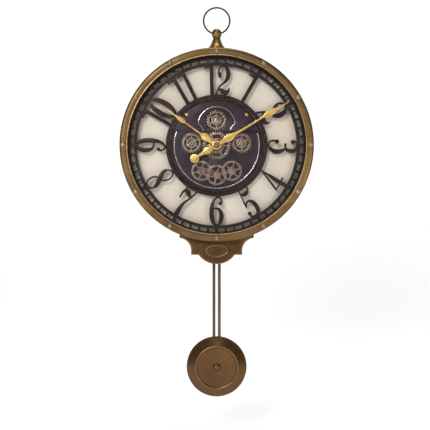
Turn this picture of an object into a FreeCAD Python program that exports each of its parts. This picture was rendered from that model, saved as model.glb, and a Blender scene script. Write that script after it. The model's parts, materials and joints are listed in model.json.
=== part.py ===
"""Round wall clock with an open gear chamber in the dial and a double-rod pendulum below.

Frame: millimetres, origin on the hands' axis in the wall plane, +X to the right as seen from the
front, +Z up, and the front facing -Y. A "depth" is the distance in front of the wall, so Y = -depth.
Flat parts are drawn in the XZ plane and padded towards the front; turned parts are drawn as
(radius, depth) and revolved about the Y axis.
"""
import FreeCAD, Part

import math
import os
import re

import Sketcher
from FreeCAD import Placement, Rotation, Vector

DOC = FreeCAD.newDocument("GearWallClock")
NODES = {}
FORWARD = Rotation(Vector(1, 0, 0), 90)      # turns a primitive's own Z axis towards the front

# ---------------------------------------------------------------------------------------------
# Driving dimensions
# ---------------------------------------------------------------------------------------------
SIZES = {
    # case, from the wall forward
    "BezelRadius": 150, "BezelInner": 137.4, "BezelRear": 44, "BezelFace": 58, "BezelWall": 1.8,
    "DrumRadius": 143, "DrumWall": 1.5, "DrumFront": 50, "CoverThick": 1.5, "FlangeInner": 131,
    "DoorHalf": 38, "DoorGap": 0.3, "KeyholeRise": 116, "KeyholeRadius": 5, "KeyholeSlot": 2.3,
    "GlassRadius": 141.3, "GlassRear": 51, "GlassFront": 53.5, "GasketInner": 139.9,
    "RivetRing": 144.3, "RivetRadius": 4, "RivetHeight": 3.2, "RivetCount": 12,
    # dial and minute track
    "DialRadius": 138.6, "DialRear": 26, "DialFront": 27.5, "DialPostRing": 135.5, "DialPostRadius": 3,
    "TrackInner": 124.9, "WindowInner": 129.6, "WindowOuter": 134.6, "TrackOuter": 139.6,
    "TrackRear": 36.5, "TrackFront": 41, "MinuteBar": 3.5, "HourBar": 5.8, "TrackPostRadius": 1.3,
    "NumeralRear": 38.5, "NumeralFront": 40.8, "GlyphHeight": 44, "PenMargin": 0.6,
    # gear chamber
    "ChamberRadius": 79.5, "ChamberBore": 68.5, "ChamberStep": 75.4, "PlateRadius": 72.6,
    "ChamberFront": 41.2, "PlateRear": 33.2, "PlateFront": 34.4, "BridgeFront": 35.2,
    "BridgeRadius": 67, "BridgeChord": 22.4, "CrescentRadius": 70.6, "TrimFront": 35.9, "TrimWidth": 1.1,
    "DomeRise": 32.2, "DomeRadius": 28.4, "FootAcross": 20.1, "NeckRise": 35,
    "PlateScrewX": 46.8, "PlateScrewRise": 48.4, "PlateScrewHead": 2.3,
    # gears that show
    "GearModule": 1.25, "CentreTeeth": 34, "PlanetTeeth": 24, "GearRear": 35.8, "GearFront": 38,
    "SideRise": 4.1, "SideReach": 39.35, "LowerReach": 46, "LowerSpread": 31, "LowerTip": 16.1,
    "LowerFront": 37.2, "MiddleRear": 37.7, "MiddleFront": 39.1, "ArborRadius": 1.5,
    # drive behind the chamber plate
    "DriveModule": 1, "LowerDriveTeeth": 78, "LowerPinionTeeth": 14, "SideDriveTeeth": 66,
    "SidePinionTeeth": 12, "LowerDriveRear": 29.9, "LowerDriveFront": 31.1, "SideDriveRear": 31.6,
    "SideDriveFront": 32.6, "TubeRear": 29.5, "TubeFront": 38.4, "TubeRadius": 6, "MotorAngle": -25,
    "MotorRadius": 12, "MotorRear": 8,
    # hands and their coaxial shafts
    "BushRadius": 4, "BushBore": 2.8, "BushFront": 39.6, "HourTubeRadius": 2.72, "HourTubeBore": 1.75,
    "HourHandRear": 41.9, "HourHandFront": 43.1, "MinuteShaftRadius": 1.67, "MinuteHandRear": 44.4,
    "MinuteHandFront": 45.6, "HubRadius": 7.3, "NutCapRadius": 4.8, "NutCapFront": 49,
    "MinuteHandTurn": 58.9, "HourHandTurn": -54.2, "RunningFit": 0.07,
    # quartz movement
    "MovementHalf": 28, "MovementRear": 6, "MovementLid": 23.3, "MovementFront": 24.5,
    "MovementWall": 1.2, "WorkReach": 12, "KnobRadius": 7, "BatteryRadius": 7.1, "BatteryLength": 50,
    "BatteryRise": 19, "BatteryDepth": 15,
    # pendulum
    "PivotDrop": 40, "DriverHalf": 20, "DriverBottom": 62, "DriverFront": 21, "DriverWall": 1.2,
    "PinRadius": 1.2, "LeafHalf": 2.2, "LeafRear": 14.5, "LeafFront": 15.7, "RodDepth": 11.6,
    "RodRadius": 2.3, "RodSpacing": 8.6, "YokeTop": 78, "YokeBottom": 86, "YokeHalf": 8,
    "SlotHalf": 17, "BobDrop": 349.4, "BobRadius": 47.6, "BobBead": 32.8, "BobRear": 7.4,
    "BobKnobRadius": 6.25,
    # finial and bow ring
    "FinialDepth": 28, "BallRise": 176.4, "BallRadius": 8.2, "BowRadius": 20.6, "BowWire": 1.35,
    "BowFit": 0.1,
    # apron under the case
    "ApronRear": 34, "ApronFront": 40, "ApronHalf": 58, "ApronEar": 144.4, "ApronScoop": 20,
    "ApronWaist": 39.8, "ApronFoot": 170.8, "ApronShoulder": 164.5, "ApronNeck": 28.2,
    "ApronBelly": 34.8, "ApronBevel": 1.6, "MedallionDrop": 164.5, "MedallionLong": 17.4,
    "MedallionShort": 9.6, "BracketHalf": 24, "BracketBottom": 152, "BracketRear": 18,
    # screws of the back cover and the apron
    "CoverScrewRing": 136.2, "ScrewDepth": 26, "ScrewReach": 16,
}


def make_sheet():
    """Write every driving dimension to its own aliased cell."""
    sheet = DOC.addObject("Spreadsheet::Sheet", "Sizes")
    for row, (alias, number) in enumerate(SIZES.items(), start=1):
        sheet.set(f"A{row}", alias)
        sheet.set(f"B{row}", str(number))
        sheet.setAlias(f"B{row}", alias)
    DOC.recompute()
    return sheet


SHEET = make_sheet()


def size(expression):
    """Return the value of an expression of sheet aliases."""
    return float(SHEET.evalExpression(str(expression)))


def bind(thing, prop, expression):
    """Tie a property to an expression of sheet aliases."""
    linked = re.sub(r"[A-Z]\w+", r"Sizes.\g<0>", str(expression))
    thing.setExpression(prop, linked)


def node(label, thing):
    """Give a finished sub-part its label and keep it for export."""
    thing.Label = label
    NODES[label] = thing
    return thing


# ---------------------------------------------------------------------------------------------
# Sketched bodies
# ---------------------------------------------------------------------------------------------
def arc_between(start, end, radius):
    """Arc from start to end; a positive radius turns left and a negative one turns right."""
    chord = end - start
    rise = math.sqrt(radius ** 2 - (chord.Length / 2) ** 2)
    left = Vector(-chord.y, chord.x, 0).normalize()
    centre = (start + end) * 0.5 + left * math.copysign(rise, radius)
    first, last = (start, end) if radius > 0 else (end, start)
    angles = [math.atan2(point.y - centre.y, point.x - centre.x) for point in (first, last)]
    if angles[1] < angles[0]:
        angles[1] += 2 * math.pi
    return Part.ArcOfCircle(Part.Circle(centre, Vector(0, 0, 1), abs(radius)), *angles)


def add_loop(sketch, loop):
    """Draw a closed loop of (x, y) or (x, y, radius of the arc that leaves it) and constrain it."""
    points = [Vector(size(vertex[0]), size(vertex[1]), 0) for vertex in loop]
    first = sketch.GeometryCount
    ends = []
    for index, vertex in enumerate(loop):
        start, end = points[index], points[(index + 1) % len(loop)]
        if len(vertex) == 3:
            radius = size(vertex[2])
            number = sketch.addGeometry(arc_between(start, end, radius), False)
            constraint = sketch.addConstraint(Sketcher.Constraint("Radius", number, abs(radius)))
            bind(sketch, f"Constraints[{constraint}]", f"abs({vertex[2]})")
            ends.append((1, 2) if radius > 0 else (2, 1))
        else:
            sketch.addGeometry(Part.LineSegment(start, end), False)
            ends.append((1, 2))
    for index, vertex in enumerate(loop):
        after = (index + 1) % len(loop)
        sketch.addConstraint(Sketcher.Constraint(
            "Coincident", first + index, ends[index][1], first + after, ends[after][0]))
        for kind, place in (("DistanceX", 0), ("DistanceY", 1)):
            constraint = sketch.addConstraint(Sketcher.Constraint(
                kind, -1, 1, first + index, ends[index][0], points[index][place]))
            bind(sketch, f"Constraints[{constraint}]", vertex[place])


def add_circle(sketch, across, up, radius):
    """Draw a constrained circle."""
    circle = Part.Circle(Vector(size(across), size(up), 0), Vector(0, 0, 1), size(radius))
    number = sketch.addGeometry(circle, False)
    for kind, expression in (("DistanceX", across), ("DistanceY", up)):
        constraint = sketch.addConstraint(
            Sketcher.Constraint(kind, -1, 1, number, 3, size(expression)))
        bind(sketch, f"Constraints[{constraint}]", expression)
    constraint = sketch.addConstraint(Sketcher.Constraint("Radius", number, size(radius)))
    bind(sketch, f"Constraints[{constraint}]", radius)


def new_sketch(body, plane_role, name="Outline"):
    """Attach a sketch to one of the body's own origin planes."""
    sketch = body.newObject("Sketcher::SketchObject", name)
    plane = next(item for item in body.Origin.OriginFeatures if item.Role == plane_role)
    sketch.AttachmentSupport = [(plane, "")]
    sketch.MapMode = "FlatFace"
    return sketch


def place(thing, across=0, depth=0, up=0):
    """Tie a sub-part's Placement to the sheet."""
    bind(thing, "Placement.Base.x", across)
    bind(thing, "Placement.Base.y", f"-({depth})")
    bind(thing, "Placement.Base.z", up)
    return thing


def turned(profile, across=0, up=0):
    """Revolve a (radius, depth) profile about the front-to-back axis through (across, up)."""
    body = DOC.addObject("PartDesign::Body", "Body")
    sketch = new_sketch(body, "XY_Plane")
    flipped = [(vertex[0], f"-({vertex[1]})", *(f"-({bow})" for bow in vertex[2:]))
               for vertex in profile]
    add_loop(sketch, flipped)
    revolution = body.newObject("PartDesign::Revolution", "Turned")
    revolution.Profile = sketch
    revolution.ReferenceAxis = (sketch, ["V_Axis"])
    revolution.Angle = 360
    return place(body, across, 0, up)


def tube(label, inner, outer, rear, front, across=0, up=0):
    """Turn a plain ring between two depths."""
    profile = [(inner, rear), (outer, rear), (outer, front), (inner, front)]
    return node(label, turned(profile, across, up))


def padded(loops, rear, front, circles=()):
    """Pad an outline in the XZ plane, with further loops and circles as openings."""
    body = DOC.addObject("PartDesign::Body", "Body")
    sketch = new_sketch(body, "XZ_Plane")
    for loop in loops:
        add_loop(sketch, loop)
    for circle in circles:
        add_circle(sketch, *circle)
    bind(sketch, "AttachmentOffset.Base.z", rear)
    pad = body.newObject("PartDesign::Pad", "Padded")
    pad.Profile = sketch
    bind(pad, "Length", f"{front} - ({rear})")
    return body


def rectangle(left, right, bottom, top):
    """Corners of an upright rectangle, counter-clockwise."""
    return [(left, bottom), (right, bottom), (right, top), (left, top)]


# ---------------------------------------------------------------------------------------------
# Primitives and booleans
# ---------------------------------------------------------------------------------------------
def rod(radius, rear, front, across=0, up=0):
    """Part::Cylinder that runs from one depth to another."""
    cylinder = DOC.addObject("Part::Cylinder", "Rod")
    bind(cylinder, "Radius", radius)
    bind(cylinder, "Height", f"{front} - ({rear})")
    cylinder.Placement = Placement(Vector(), FORWARD)
    return place(cylinder, across, rear, up)


def upright(radius, bottom, top, across=0, depth=0):
    """Part::Cylinder that stands along Z."""
    cylinder = DOC.addObject("Part::Cylinder", "Upright")
    bind(cylinder, "Radius", radius)
    bind(cylinder, "Height", f"{top} - ({bottom})")
    return place(cylinder, across, depth, bottom)


def block(left, right, rear, front, bottom, top):
    """Part::Box between six planes."""
    box = DOC.addObject("Part::Box", "Block")
    bind(box, "Length", f"{right} - ({left})")
    bind(box, "Width", f"{front} - ({rear})")
    bind(box, "Height", f"{top} - ({bottom})")
    return place(box, left, front, bottom)


def fused(*things):
    """Part::MultiFuse of several objects."""
    fuse = DOC.addObject("Part::MultiFuse", "Fused")
    fuse.Shapes = list(things)
    fuse.Refine = True
    return fuse


def cut(base, *tools):
    """Part::Cut of a base by one or more tools."""
    result = DOC.addObject("Part::Cut", "Cut")
    result.Base = base
    result.Tool = tools[0] if len(tools) == 1 else fused(*tools)
    result.Refine = True
    return result


def group(*things):
    """Part::Compound of separate solids that share a node."""
    compound = DOC.addObject("Part::Compound", "Group")
    compound.Links = list(things)
    return compound


def holder(name, shape, placement=None):
    """Part::Feature for a shape worked out from the sheet."""
    thing = DOC.addObject("Part::Feature", name)
    thing.Shape = shape
    thing.Placement = (placement or Placement()).multiply(shape.Placement)
    return thing


def feature(label, shape, placement=None):
    """Sub-part made of a shape worked out from the sheet."""
    return node(label, holder("Shaped", shape, placement))


def around(shape, count, start=0.0):
    """Copies of a shape spaced evenly about the hands' axis, as one compound."""
    copies = []
    for step in range(count):
        copy = shape.copy()
        copy.rotate(Vector(), Vector(0, 1, 0), start + step * 360 / count)
        copies.append(copy)
    return Part.makeCompound(copies)


def solid_rod(radius, rear, front, across=0.0, up=0.0):
    """A cylinder shape along the front-to-back axis."""
    return Part.makeCylinder(radius, front - rear, Vector(across, -rear, up), Vector(0, -1, 0))


def solid_ring(inner, outer, rear, front):
    """A plain ring shape about the hands' axis."""
    return solid_rod(outer, rear, front).cut(solid_rod(inner, rear - 1, front + 1))


# ---------------------------------------------------------------------------------------------
# Flat outlines
# ---------------------------------------------------------------------------------------------
def polar(radius, degrees, depth=0.0):
    """Point at an angle from +X towards +Z."""
    angle = math.radians(degrees)
    return Vector(radius * math.cos(angle), -depth, radius * math.sin(angle))


def polygon(points):
    """Closed wire through points."""
    return Part.makePolygon([*points, points[0]])


def round_arc(radius, start, end, depth=0.0):
    """Arc edge about the hands' axis between two angles."""
    angles = (start, (start + end) / 2, end)
    return Part.Arc(*(polar(radius, angle, depth) for angle in angles)).toShape()


def window(inner, outer, start, end, depth=0.0, bar_in=0.0, bar_out=0.0):
    """Ring-sector wire; the bars are the half-widths left standing beside it at each radius."""
    slim_in = math.degrees(math.asin(bar_in / inner))
    slim_out = math.degrees(math.asin(bar_out / outer))
    inside = round_arc(inner, start + slim_in, end - slim_in, depth)
    outside = round_arc(outer, end - slim_out, start + slim_out, depth)
    left = Part.makeLine(polar(inner, end - slim_in, depth), polar(outer, end - slim_out, depth))
    right = Part.makeLine(polar(outer, start + slim_out, depth), polar(inner, start + slim_in, depth))
    return Part.Wire([inside, left, outside, right])


def circle_wire(radius, across=0.0, up=0.0, depth=0.0):
    """Full circle as a wire in the XZ plane."""
    return Part.Wire(Part.makeCircle(radius, Vector(across, -depth, up), Vector(0, 1, 0)))


def plate(outer, holes, thickness):
    """Extrude a face with openings towards the front."""
    face = Part.Face(outer)
    if holes:
        face = face.cut(Part.makeCompound([Part.Face(hole) for hole in holes]))
    return face.extrude(Vector(0, -thickness, 0))


# ---------------------------------------------------------------------------------------------
# Case
# ---------------------------------------------------------------------------------------------
def make_case():
    """Drum, back cover with its keyhole and door, bezel, rivets, gasket and glass."""
    inner = "DrumRadius - DrumWall"
    drum = turned([
        (inner, 0), ("DrumRadius", 0), ("DrumRadius", "DrumFront"), ("GasketInner", "DrumFront"),
        ("GasketInner", "DrumFront - DrumWall"), (inner, "DrumFront - DrumWall"),
        (inner, "2 * CoverThick"), ("FlangeInner", "2 * CoverThick"), ("FlangeInner", "CoverThick"),
        (inner, "CoverThick")])
    slot = block("-SlotHalf", "SlotHalf", "RodDepth - 3.5", "RodDepth + 3.5",
                 "-DrumRadius - 2", "-DrumRadius + 6")
    bolt_holes = [upright(2, "-DrumRadius - 2", "-DrumRadius + 8", across, "ScrewDepth")
                  for across in ("-ScrewReach", "ScrewReach")]
    finial_hole = upright(2.05, "DrumRadius - 4", "DrumRadius + 2", 0, "FinialDepth")
    thread_holes = holder("ScrewThreads", around(solid_rod(1.25, 1, 4, 0, size("CoverScrewRing")), 6))
    node("case_drum", cut(drum, slot, *bolt_holes, finial_hole, thread_holes))

    cover = padded([rectangle("-DoorHalf", "DoorHalf", "-DoorHalf", "DoorHalf")],
                   0, "CoverThick", [(0, 0, "DrumRadius - DrumWall - 0.1")])
    keyhole = rod("KeyholeRadius", -1, "CoverThick + 1", 0, "KeyholeRise")
    slot = block("-KeyholeSlot", "KeyholeSlot", -1, "CoverThick + 1", "KeyholeRise",
                 "KeyholeRise + KeyholeRadius + 7")
    ring = size("CoverScrewRing")
    counterbore = solid_rod(2.4, -1, 0.8, 0, ring).fuse(solid_rod(1.3, -1, 4, 0, ring))
    screw_holes = holder("ScrewHoles", around(counterbore, 6))
    node("rear_cover", cut(cover, keyhole, slot, screw_holes))

    screw = solid_rod(2.3, 0, 0.8, 0, ring).fuse(solid_rod(1.2, 0.8, 5, 0, ring))
    feature("rear_cover_screws", around(screw.removeSplitter(), 6))

    door = block("-DoorHalf + DoorGap", "DoorHalf - DoorGap", 0, "CoverThick",
                 "-DoorHalf + DoorGap", "DoorHalf - DoorGap")
    tabs = [block(f"{across} - 5", f"{across} + 5", "CoverThick", "CoverThick + 1",
                  "-DoorHalf - 3", "-DoorHalf + 4") for across in (-20, 20)]
    latch = block(-8, 8, "CoverThick", "CoverThick + 1", "DoorHalf - 6", "DoorHalf + 2.5")
    grip = block(-12, 12, -1, 0.7, "-DoorHalf + 8", "-DoorHalf + 10.5")
    node("battery_door", cut(fused(door, *tabs, latch), grip))


def make_bezel():
    """Hollow bezel ring that caps the drum and holds the glass, with its rivets."""
    leg = "DrumRadius + 1.4"
    under = "BezelFace - BezelWall"
    seat = "GlassRadius + 0.2"
    node("front_bezel", turned([
        ("BezelInner", "GlassFront"), (seat, "GlassFront"), (seat, "DrumFront"),
        ("DrumRadius", "DrumFront"), ("DrumRadius", "BezelRear + 1"), (leg, "BezelRear + 1"),
        (leg, under), ("BezelRadius - BezelWall", f"{under} - 0.6"),
        ("BezelRadius - BezelWall", "BezelRear"), ("BezelRadius", "BezelRear"),
        ("BezelRadius", "BezelFace - 2.2", 1.8), ("BezelRadius - 1.6", "BezelFace - 0.2"),
        ("RivetRing + RivetRadius", "BezelFace"), ("RivetRing - RivetRadius", "BezelFace"),
        ("BezelInner + 1.9", "BezelFace + 0.1", 1.2), ("BezelInner", "BezelFace - 0.2")]))
    height, radius = size("RivetHeight"), size("RivetRadius")
    dome = (radius ** 2 + height ** 2) / (2 * height)
    face = size("BezelFace")
    ball = Part.makeSphere(dome, Vector(0, -(face + height - dome), size("RivetRing")))
    keep = solid_rod(radius + 1, face, face + height + 1, 0, size("RivetRing"))
    feature("bezel_rivets", around(ball.common(keep), int(size("RivetCount"))))
    node("front_glass", rod("GlassRadius", "GlassRear", "GlassFront"))
    tube("glass_gasket", "GasketInner", "GlassRadius", "DrumFront", "GlassRear")


# ---------------------------------------------------------------------------------------------
# Dial, minute track and numerals
# ---------------------------------------------------------------------------------------------
def make_dial():
    """Cream dial plate on posts, and the openwork minute track in front of it."""
    motor = polar(size("LowerReach"), size("MotorAngle"))
    node("dial_plate", padded([], "DialRear", "DialFront", [
        (0, 0, "DialRadius"), (0, 0, "BushRadius"), (motor.x, motor.z, 2.5)]))
    behind = solid_rod(size("DialPostRadius"), size("2 * CoverThick"), size("DialRear"),
                       0, size("DialPostRing"))
    ahead = solid_rod(size("TrackPostRadius"), size("DialFront"), size("TrackRear"),
                      0, size("(WindowOuter + TrackOuter) / 2"))
    posts = around(behind, 6, 30).Solids + around(ahead, 12, 15).Solids
    feature("dial_posts", Part.makeCompound(posts))

    rear, inner, outer = size("TrackRear"), size("WindowInner"), size("WindowOuter")
    holes = [circle_wire(size("TrackInner"), depth=rear)]
    for minute in range(60):
        bars = [size("HourBar" if mark % 5 == 0 else "MinuteBar") / 2
                for mark in (minute, minute + 1)]
        start = minute * 6 + math.degrees(bars[0] / inner)
        end = minute * 6 + 6 - math.degrees(bars[1] / inner)
        holes.append(window(inner, outer, start, end, rear))
    rim = circle_wire(size("TrackOuter"), depth=rear)
    feature("minute_track", plate(rim, holes, size("TrackFront") - rear))


def spline(points):
    """Smooth edge through points, or a line when there are two."""
    if len(points) == 2:
        return Part.makeLine(*points)
    curve = Part.BSplineCurve()
    curve.interpolate(points)
    return curve.toShape()


def stroke(*stations):
    """Pen stroke whose half-width changes along a smooth line of (across, up, half-width).

    The pen margin is added to every half-width.
    """
    margin = size("PenMargin")
    middle = Part.BSplineCurve()
    middle.interpolate([Vector(across, 0, up) for across, up, _ in stations])
    left, right = [], []
    for across, up, half in stations:
        point = Vector(across, 0, up)
        along = middle.tangent(middle.parameter(point))[0]
        side = Vector(-along.z, 0, along.x) * (half + margin)
        left.append(point + side)
        right.insert(0, point - side)
    edges = [spline(left), Part.makeLine(left[-1], right[0]), spline(right),
             Part.makeLine(right[-1], left[0])]
    return Part.Face(Part.Wire(edges))


def disc(across, up, radius):
    """Round blob of a numeral or a hand."""
    return Part.Face(circle_wire(radius, across, up))


def oval(across, up, half_across, half_up, slot_across=0.0, slot_up=0.0):
    """Upright oval, open inside when a slot's half-axes are given."""
    def face(first, second):
        tall = second >= first
        ellipse = Part.Ellipse(Vector(), max(first, second), min(first, second)).toShape()
        ellipse.rotate(Vector(), Vector(1, 0, 0), 90)
        ellipse.rotate(Vector(), Vector(0, 1, 0), 90 if tall else 0)
        ellipse.translate(Vector(across, 0, up))
        return Part.Face(Part.Wire(ellipse))
    blank = face(half_across, half_up)
    return blank.cut(face(slot_across, slot_up)) if slot_across else blank


def straight(*points):
    """Face with straight sides through (across, up) corners."""
    return Part.Face(polygon([Vector(across, 0, up) for across, up in points]))


def glyph_one():
    """Straight stem with a thin flag to the left of its top."""
    stem = straight((-2.8, -1), (2.8, -1), (2.8, 45), (0, 45), (-1.4, 42.6), (-2.8, 41.9))
    flag = stroke((-12, 40.6, 0.8), (-8, 40.8, 0.9), (-4.6, 41, 1.2), (-1.5, 41.6, 2.4))
    return [stem, flag]


def glyph_two():
    """Hooked top with a teardrop end, a swelling back and a waved foot."""
    return [
        oval(-6.2, 29.2, 2.6, 4.6),
        stroke((-7.7, 29.5, 0.9), (-7.9, 35.5, 0.9), (-5.6, 40.6, 0.9), (-1.6, 43.2, 1.1),
               (3.2, 41, 1.8), (6.2, 34.5, 2.6), (6, 26.5, 2.7), (3, 20.4, 1.8), (-2.4, 15.6, 0.9),
               (-7, 11.4, 0.8), (-8.8, 6.8, 0.9)),
        stroke((-8.2, 8.6, 0.8), (-10.2, 4, 0.9), (-12, -1, 0.9)),
        stroke((-8.4, 7.4, 0.8), (-5, 7, 1.7), (-0.6, 4, 2.9), (3.8, 3, 2.9), (6.6, 5.6, 1.3),
               (7.6, 10, 0.5)),
    ]


def glyph_three():
    """Two swelling bowls with ball ends and a short bar at the waist."""
    return [
        disc(-5.9, 14.2, 3.2), disc(-5, 38, 3.2),
        stroke((-6.6, 11.6, 1), (-7.2, 7, 0.9), (-4.6, 2.4, 0.9), (0.4, 1.4, 1.1), (5.4, 4.8, 1.9),
               (9, 10.5, 2.8), (9.4, 16.6, 2.9), (7.4, 22.4, 1.9), (4.4, 26.7, 0.9)),
        stroke((-3, 26.7, 1.5), (0, 26.7, 1), (4.6, 26.7, 0.8)),
        stroke((4.4, 26.9, 0.9), (7.4, 30, 1.8), (8.7, 35.4, 2.7), (6.6, 41.4, 2.3), (1.4, 44.4, 1.2),
               (-4, 43.2, 0.9), (-6.8, 39.4, 1)),
    ]


def glyph_four():
    """Wedge stem, thin diagonal and a thin bar with a ball end."""
    return [
        straight((-3.2, -1), (2.6, -1), (2.7, 26), (1.9, 45), (1.3, 45), (-3.3, 20)),
        straight((0.4, 45), (1.9, 42), (-11.1, 10), (-14.8, 9)),
        straight((-14, 8.4), (6, 8.8), (6, 11.2), (-13, 10.9)),
        disc(6.6, 10.1, 1.6),
    ]


def glyph_five():
    """Waved flag, thin stem and a round bowl with a ball end."""
    return [
        stroke((-6, 38.6, 0.8), (-3.6, 36.6, 1.9), (0, 35.8, 2.7), (4, 37.2, 2.2), (6.8, 40, 1),
               (7.6, 44.5, 0.5)),
        straight((-6.6, 45), (-4.7, 45), (-6.7, 20), (-8.7, 14.2), (-9, 22)),
        stroke((-8, 16.6, 0.5), (-6.2, 21, 0.8), (-2.2, 24.2, 0.9), (2, 23, 1.5), (5.2, 17.6, 2.4),
               (6.2, 10.4, 2.6), (4.4, 3.4, 2.1), (-0.2, 0.3, 1.1), (-5.4, 0.4, 0.9), (-9, 4, 0.9)),
        disc(-8.2, 6.8, 3),
    ]


def glyph_six():
    """Tall left stroke curling to a ball, and an oval bowl."""
    return [
        disc(5.6, 33.2, 2.9),
        stroke((7.2, 34.4, 0.9), (7, 39, 0.8), (3.4, 42.8, 0.9), (-1.6, 41, 1.1), (-5.4, 34.6, 1.9),
               (-7.4, 26, 2.6), (-7.7, 16, 2.9), (-6.2, 7, 2.6), (-2.6, 1.2, 1.7), (0.4, -0.6, 1.3)),
        stroke((-1.4, 0, 1.2), (2, 0.8, 1.5), (5.4, 5.4, 2.5), (7.1, 12.4, 2.9), (6.4, 19.4, 2.4),
               (3.4, 24.4, 1.4), (-0.8, 26, 0.9), (-5.6, 24.2, 0.8)),
    ]


def glyph_seven():
    """Waved thick flag over a diagonal that swells towards its foot."""
    return [
        stroke((-9.4, 25, 0.6), (-9.2, 31, 0.8), (-7.4, 37.6, 1.8), (-3.6, 38.6, 3), (0.4, 35.8, 3),
               (4.2, 34, 1.4), (6.8, 34.6, 0.6)),
        straight((-10, 30), (-8.2, 44), (-6.6, 44.6), (-5, 40), (-8.4, 34)),
        stroke((9.4, 45, 0.7), (7.4, 37, 0.8), (4, 28.6, 0.9), (0.4, 20.4, 1.5), (-1.2, 10, 2.6),
               (-1.3, -1, 2.7)),
    ]


def glyph_eight():
    """Two thin ovals tied by a swelling S stroke."""
    return [
        oval(1.2, 32.6, 8.2, 11.7, 5.7, 9.2),
        oval(0.4, 10.2, 9, 11.5, 6.3, 8.9),
        stroke((-5.6, 37, 1.4), (-4.6, 29.4, 2.4), (0.4, 21.6, 3), (5.4, 14.6, 2.6),
               (7.4, 7.4, 1.5)),
    ]


def glyph_nine():
    """The six turned upside down in its own box."""
    turned_faces = [face.copy() for face in glyph_six()]
    for face in turned_faces:
        face.rotate(Vector(0, 0, size("GlyphHeight") / 2), Vector(0, 1, 0), 180)
    return turned_faces


def glyph_zero():
    """Oval with swelling sides."""
    return [oval(0, 22, 12, 23, 4.5, 20.2)]


# digits of each hour from one to twelve: (glyph, sideways shift, lean in degrees, width factor)
NUMERALS = [
    [(glyph_one, 0.6, 0, 1)],
    [(glyph_two, 1, 0, 1.15)],
    [(glyph_three, 0, 0, 1)],
    [(glyph_four, 0, 0, 1)],
    [(glyph_five, 0, 0, 1)],
    [(glyph_six, 0, 0, 1)],
    [(glyph_seven, 0, 0, 1)],
    [(glyph_eight, 0, 0, 1)],
    [(glyph_nine, 0, 0, 1)],
    [(glyph_one, -8.3, 0, 1), (glyph_zero, 8.4, 0, 1)],
    [(glyph_one, -6.2, 0, 1), (glyph_one, 9.4, -4, 1)],
    [(glyph_one, -7.8, 1.6, 1), (glyph_two, 11.3, 0, 1)],
]


def make_numerals():
    """Openwork numerals between the chamber ring and the minute track.

    Tops point outwards from nine o'clock over the top to three, and inwards from four to eight.
    """
    inner, outer = size("ChamberRadius"), size("TrackInner")
    rear, front = size("NumeralRear"), size("NumeralFront")
    scale = (outer - inner) / size("GlyphHeight")
    band = solid_ring(inner, outer, rear - 1, front + 1)
    solids = []
    for hour, digits in enumerate(NUMERALS, start=1):
        inward = 4 <= hour <= 8
        base = -outer if inward else inner
        pieces = []
        for glyph, shift, lean, widen in digits:
            for face in glyph():
                stretch = FreeCAD.Matrix()
                stretch.scale(widen, 1, 1)
                face = face.transformGeometry(stretch) if widen != 1 else face
                face.scale(scale)
                face.rotate(Vector(0, 0, (outer - inner) / 2), Vector(0, 1, 0), -lean)
                face.translate(Vector(shift, 0, base))
                pieces.append(face.extrude(Vector(0, rear - front, 0)))
        solid = pieces[0].multiFuse(pieces[1:]) if len(pieces) > 1 else pieces[0]
        solid.translate(Vector(0, -rear, 0))
        solid = solid.common(band).removeSplitter()
        solid.rotate(Vector(), Vector(0, 1, 0), (hour - 6) * 30 if inward else hour * 30)
        solids += solid.Solids
    feature("numerals", Part.makeCompound(solids))


# ---------------------------------------------------------------------------------------------
# Gear chamber
# ---------------------------------------------------------------------------------------------
def arbor_places():
    """Reach and direction of the six arbors round the chamber, by name."""
    side_angle = math.degrees(math.asin(size("SideRise / SideReach")))
    return {
        "top": (size("SideReach"), 90),
        "right": (size("SideReach"), side_angle),
        "left": (size("SideReach"), 180 - side_angle),
        "lower_left": (size("LowerReach"), 270 - size("LowerSpread")),
        "lower_middle": (size("LowerReach"), 270),
        "lower_right": (size("LowerReach"), 270 + size("LowerSpread")),
    }


def omega(offset):
    """Dome with pinched feet that frames the top gear; offset moves the line outwards."""
    dome, neck = size("DomeRadius") + offset, size("NeckRise")
    foot, chord = size("FootAcross") + offset, size("BridgeChord") - 3
    top = Vector(0, 0, size("DomeRise + DomeRadius") + offset)
    shoulder = Vector(dome, 0, neck)
    pinch = Vector(size("FootAcross") + 2.2 + offset, 0, (neck + chord) / 2 + 1)
    toe = Vector(foot, 0, chord)
    left_shoulder, left_pinch, left_toe = (
        Vector(-point.x, 0, point.z) for point in (shoulder, pinch, toe))
    arcs = [Part.Arc(toe, pinch, shoulder).toShape(),
            Part.Arc(shoulder, top, left_shoulder).toShape(),
            Part.Arc(left_shoulder, left_pinch, left_toe).toShape()]
    return arcs, [left_toe, toe]


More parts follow.
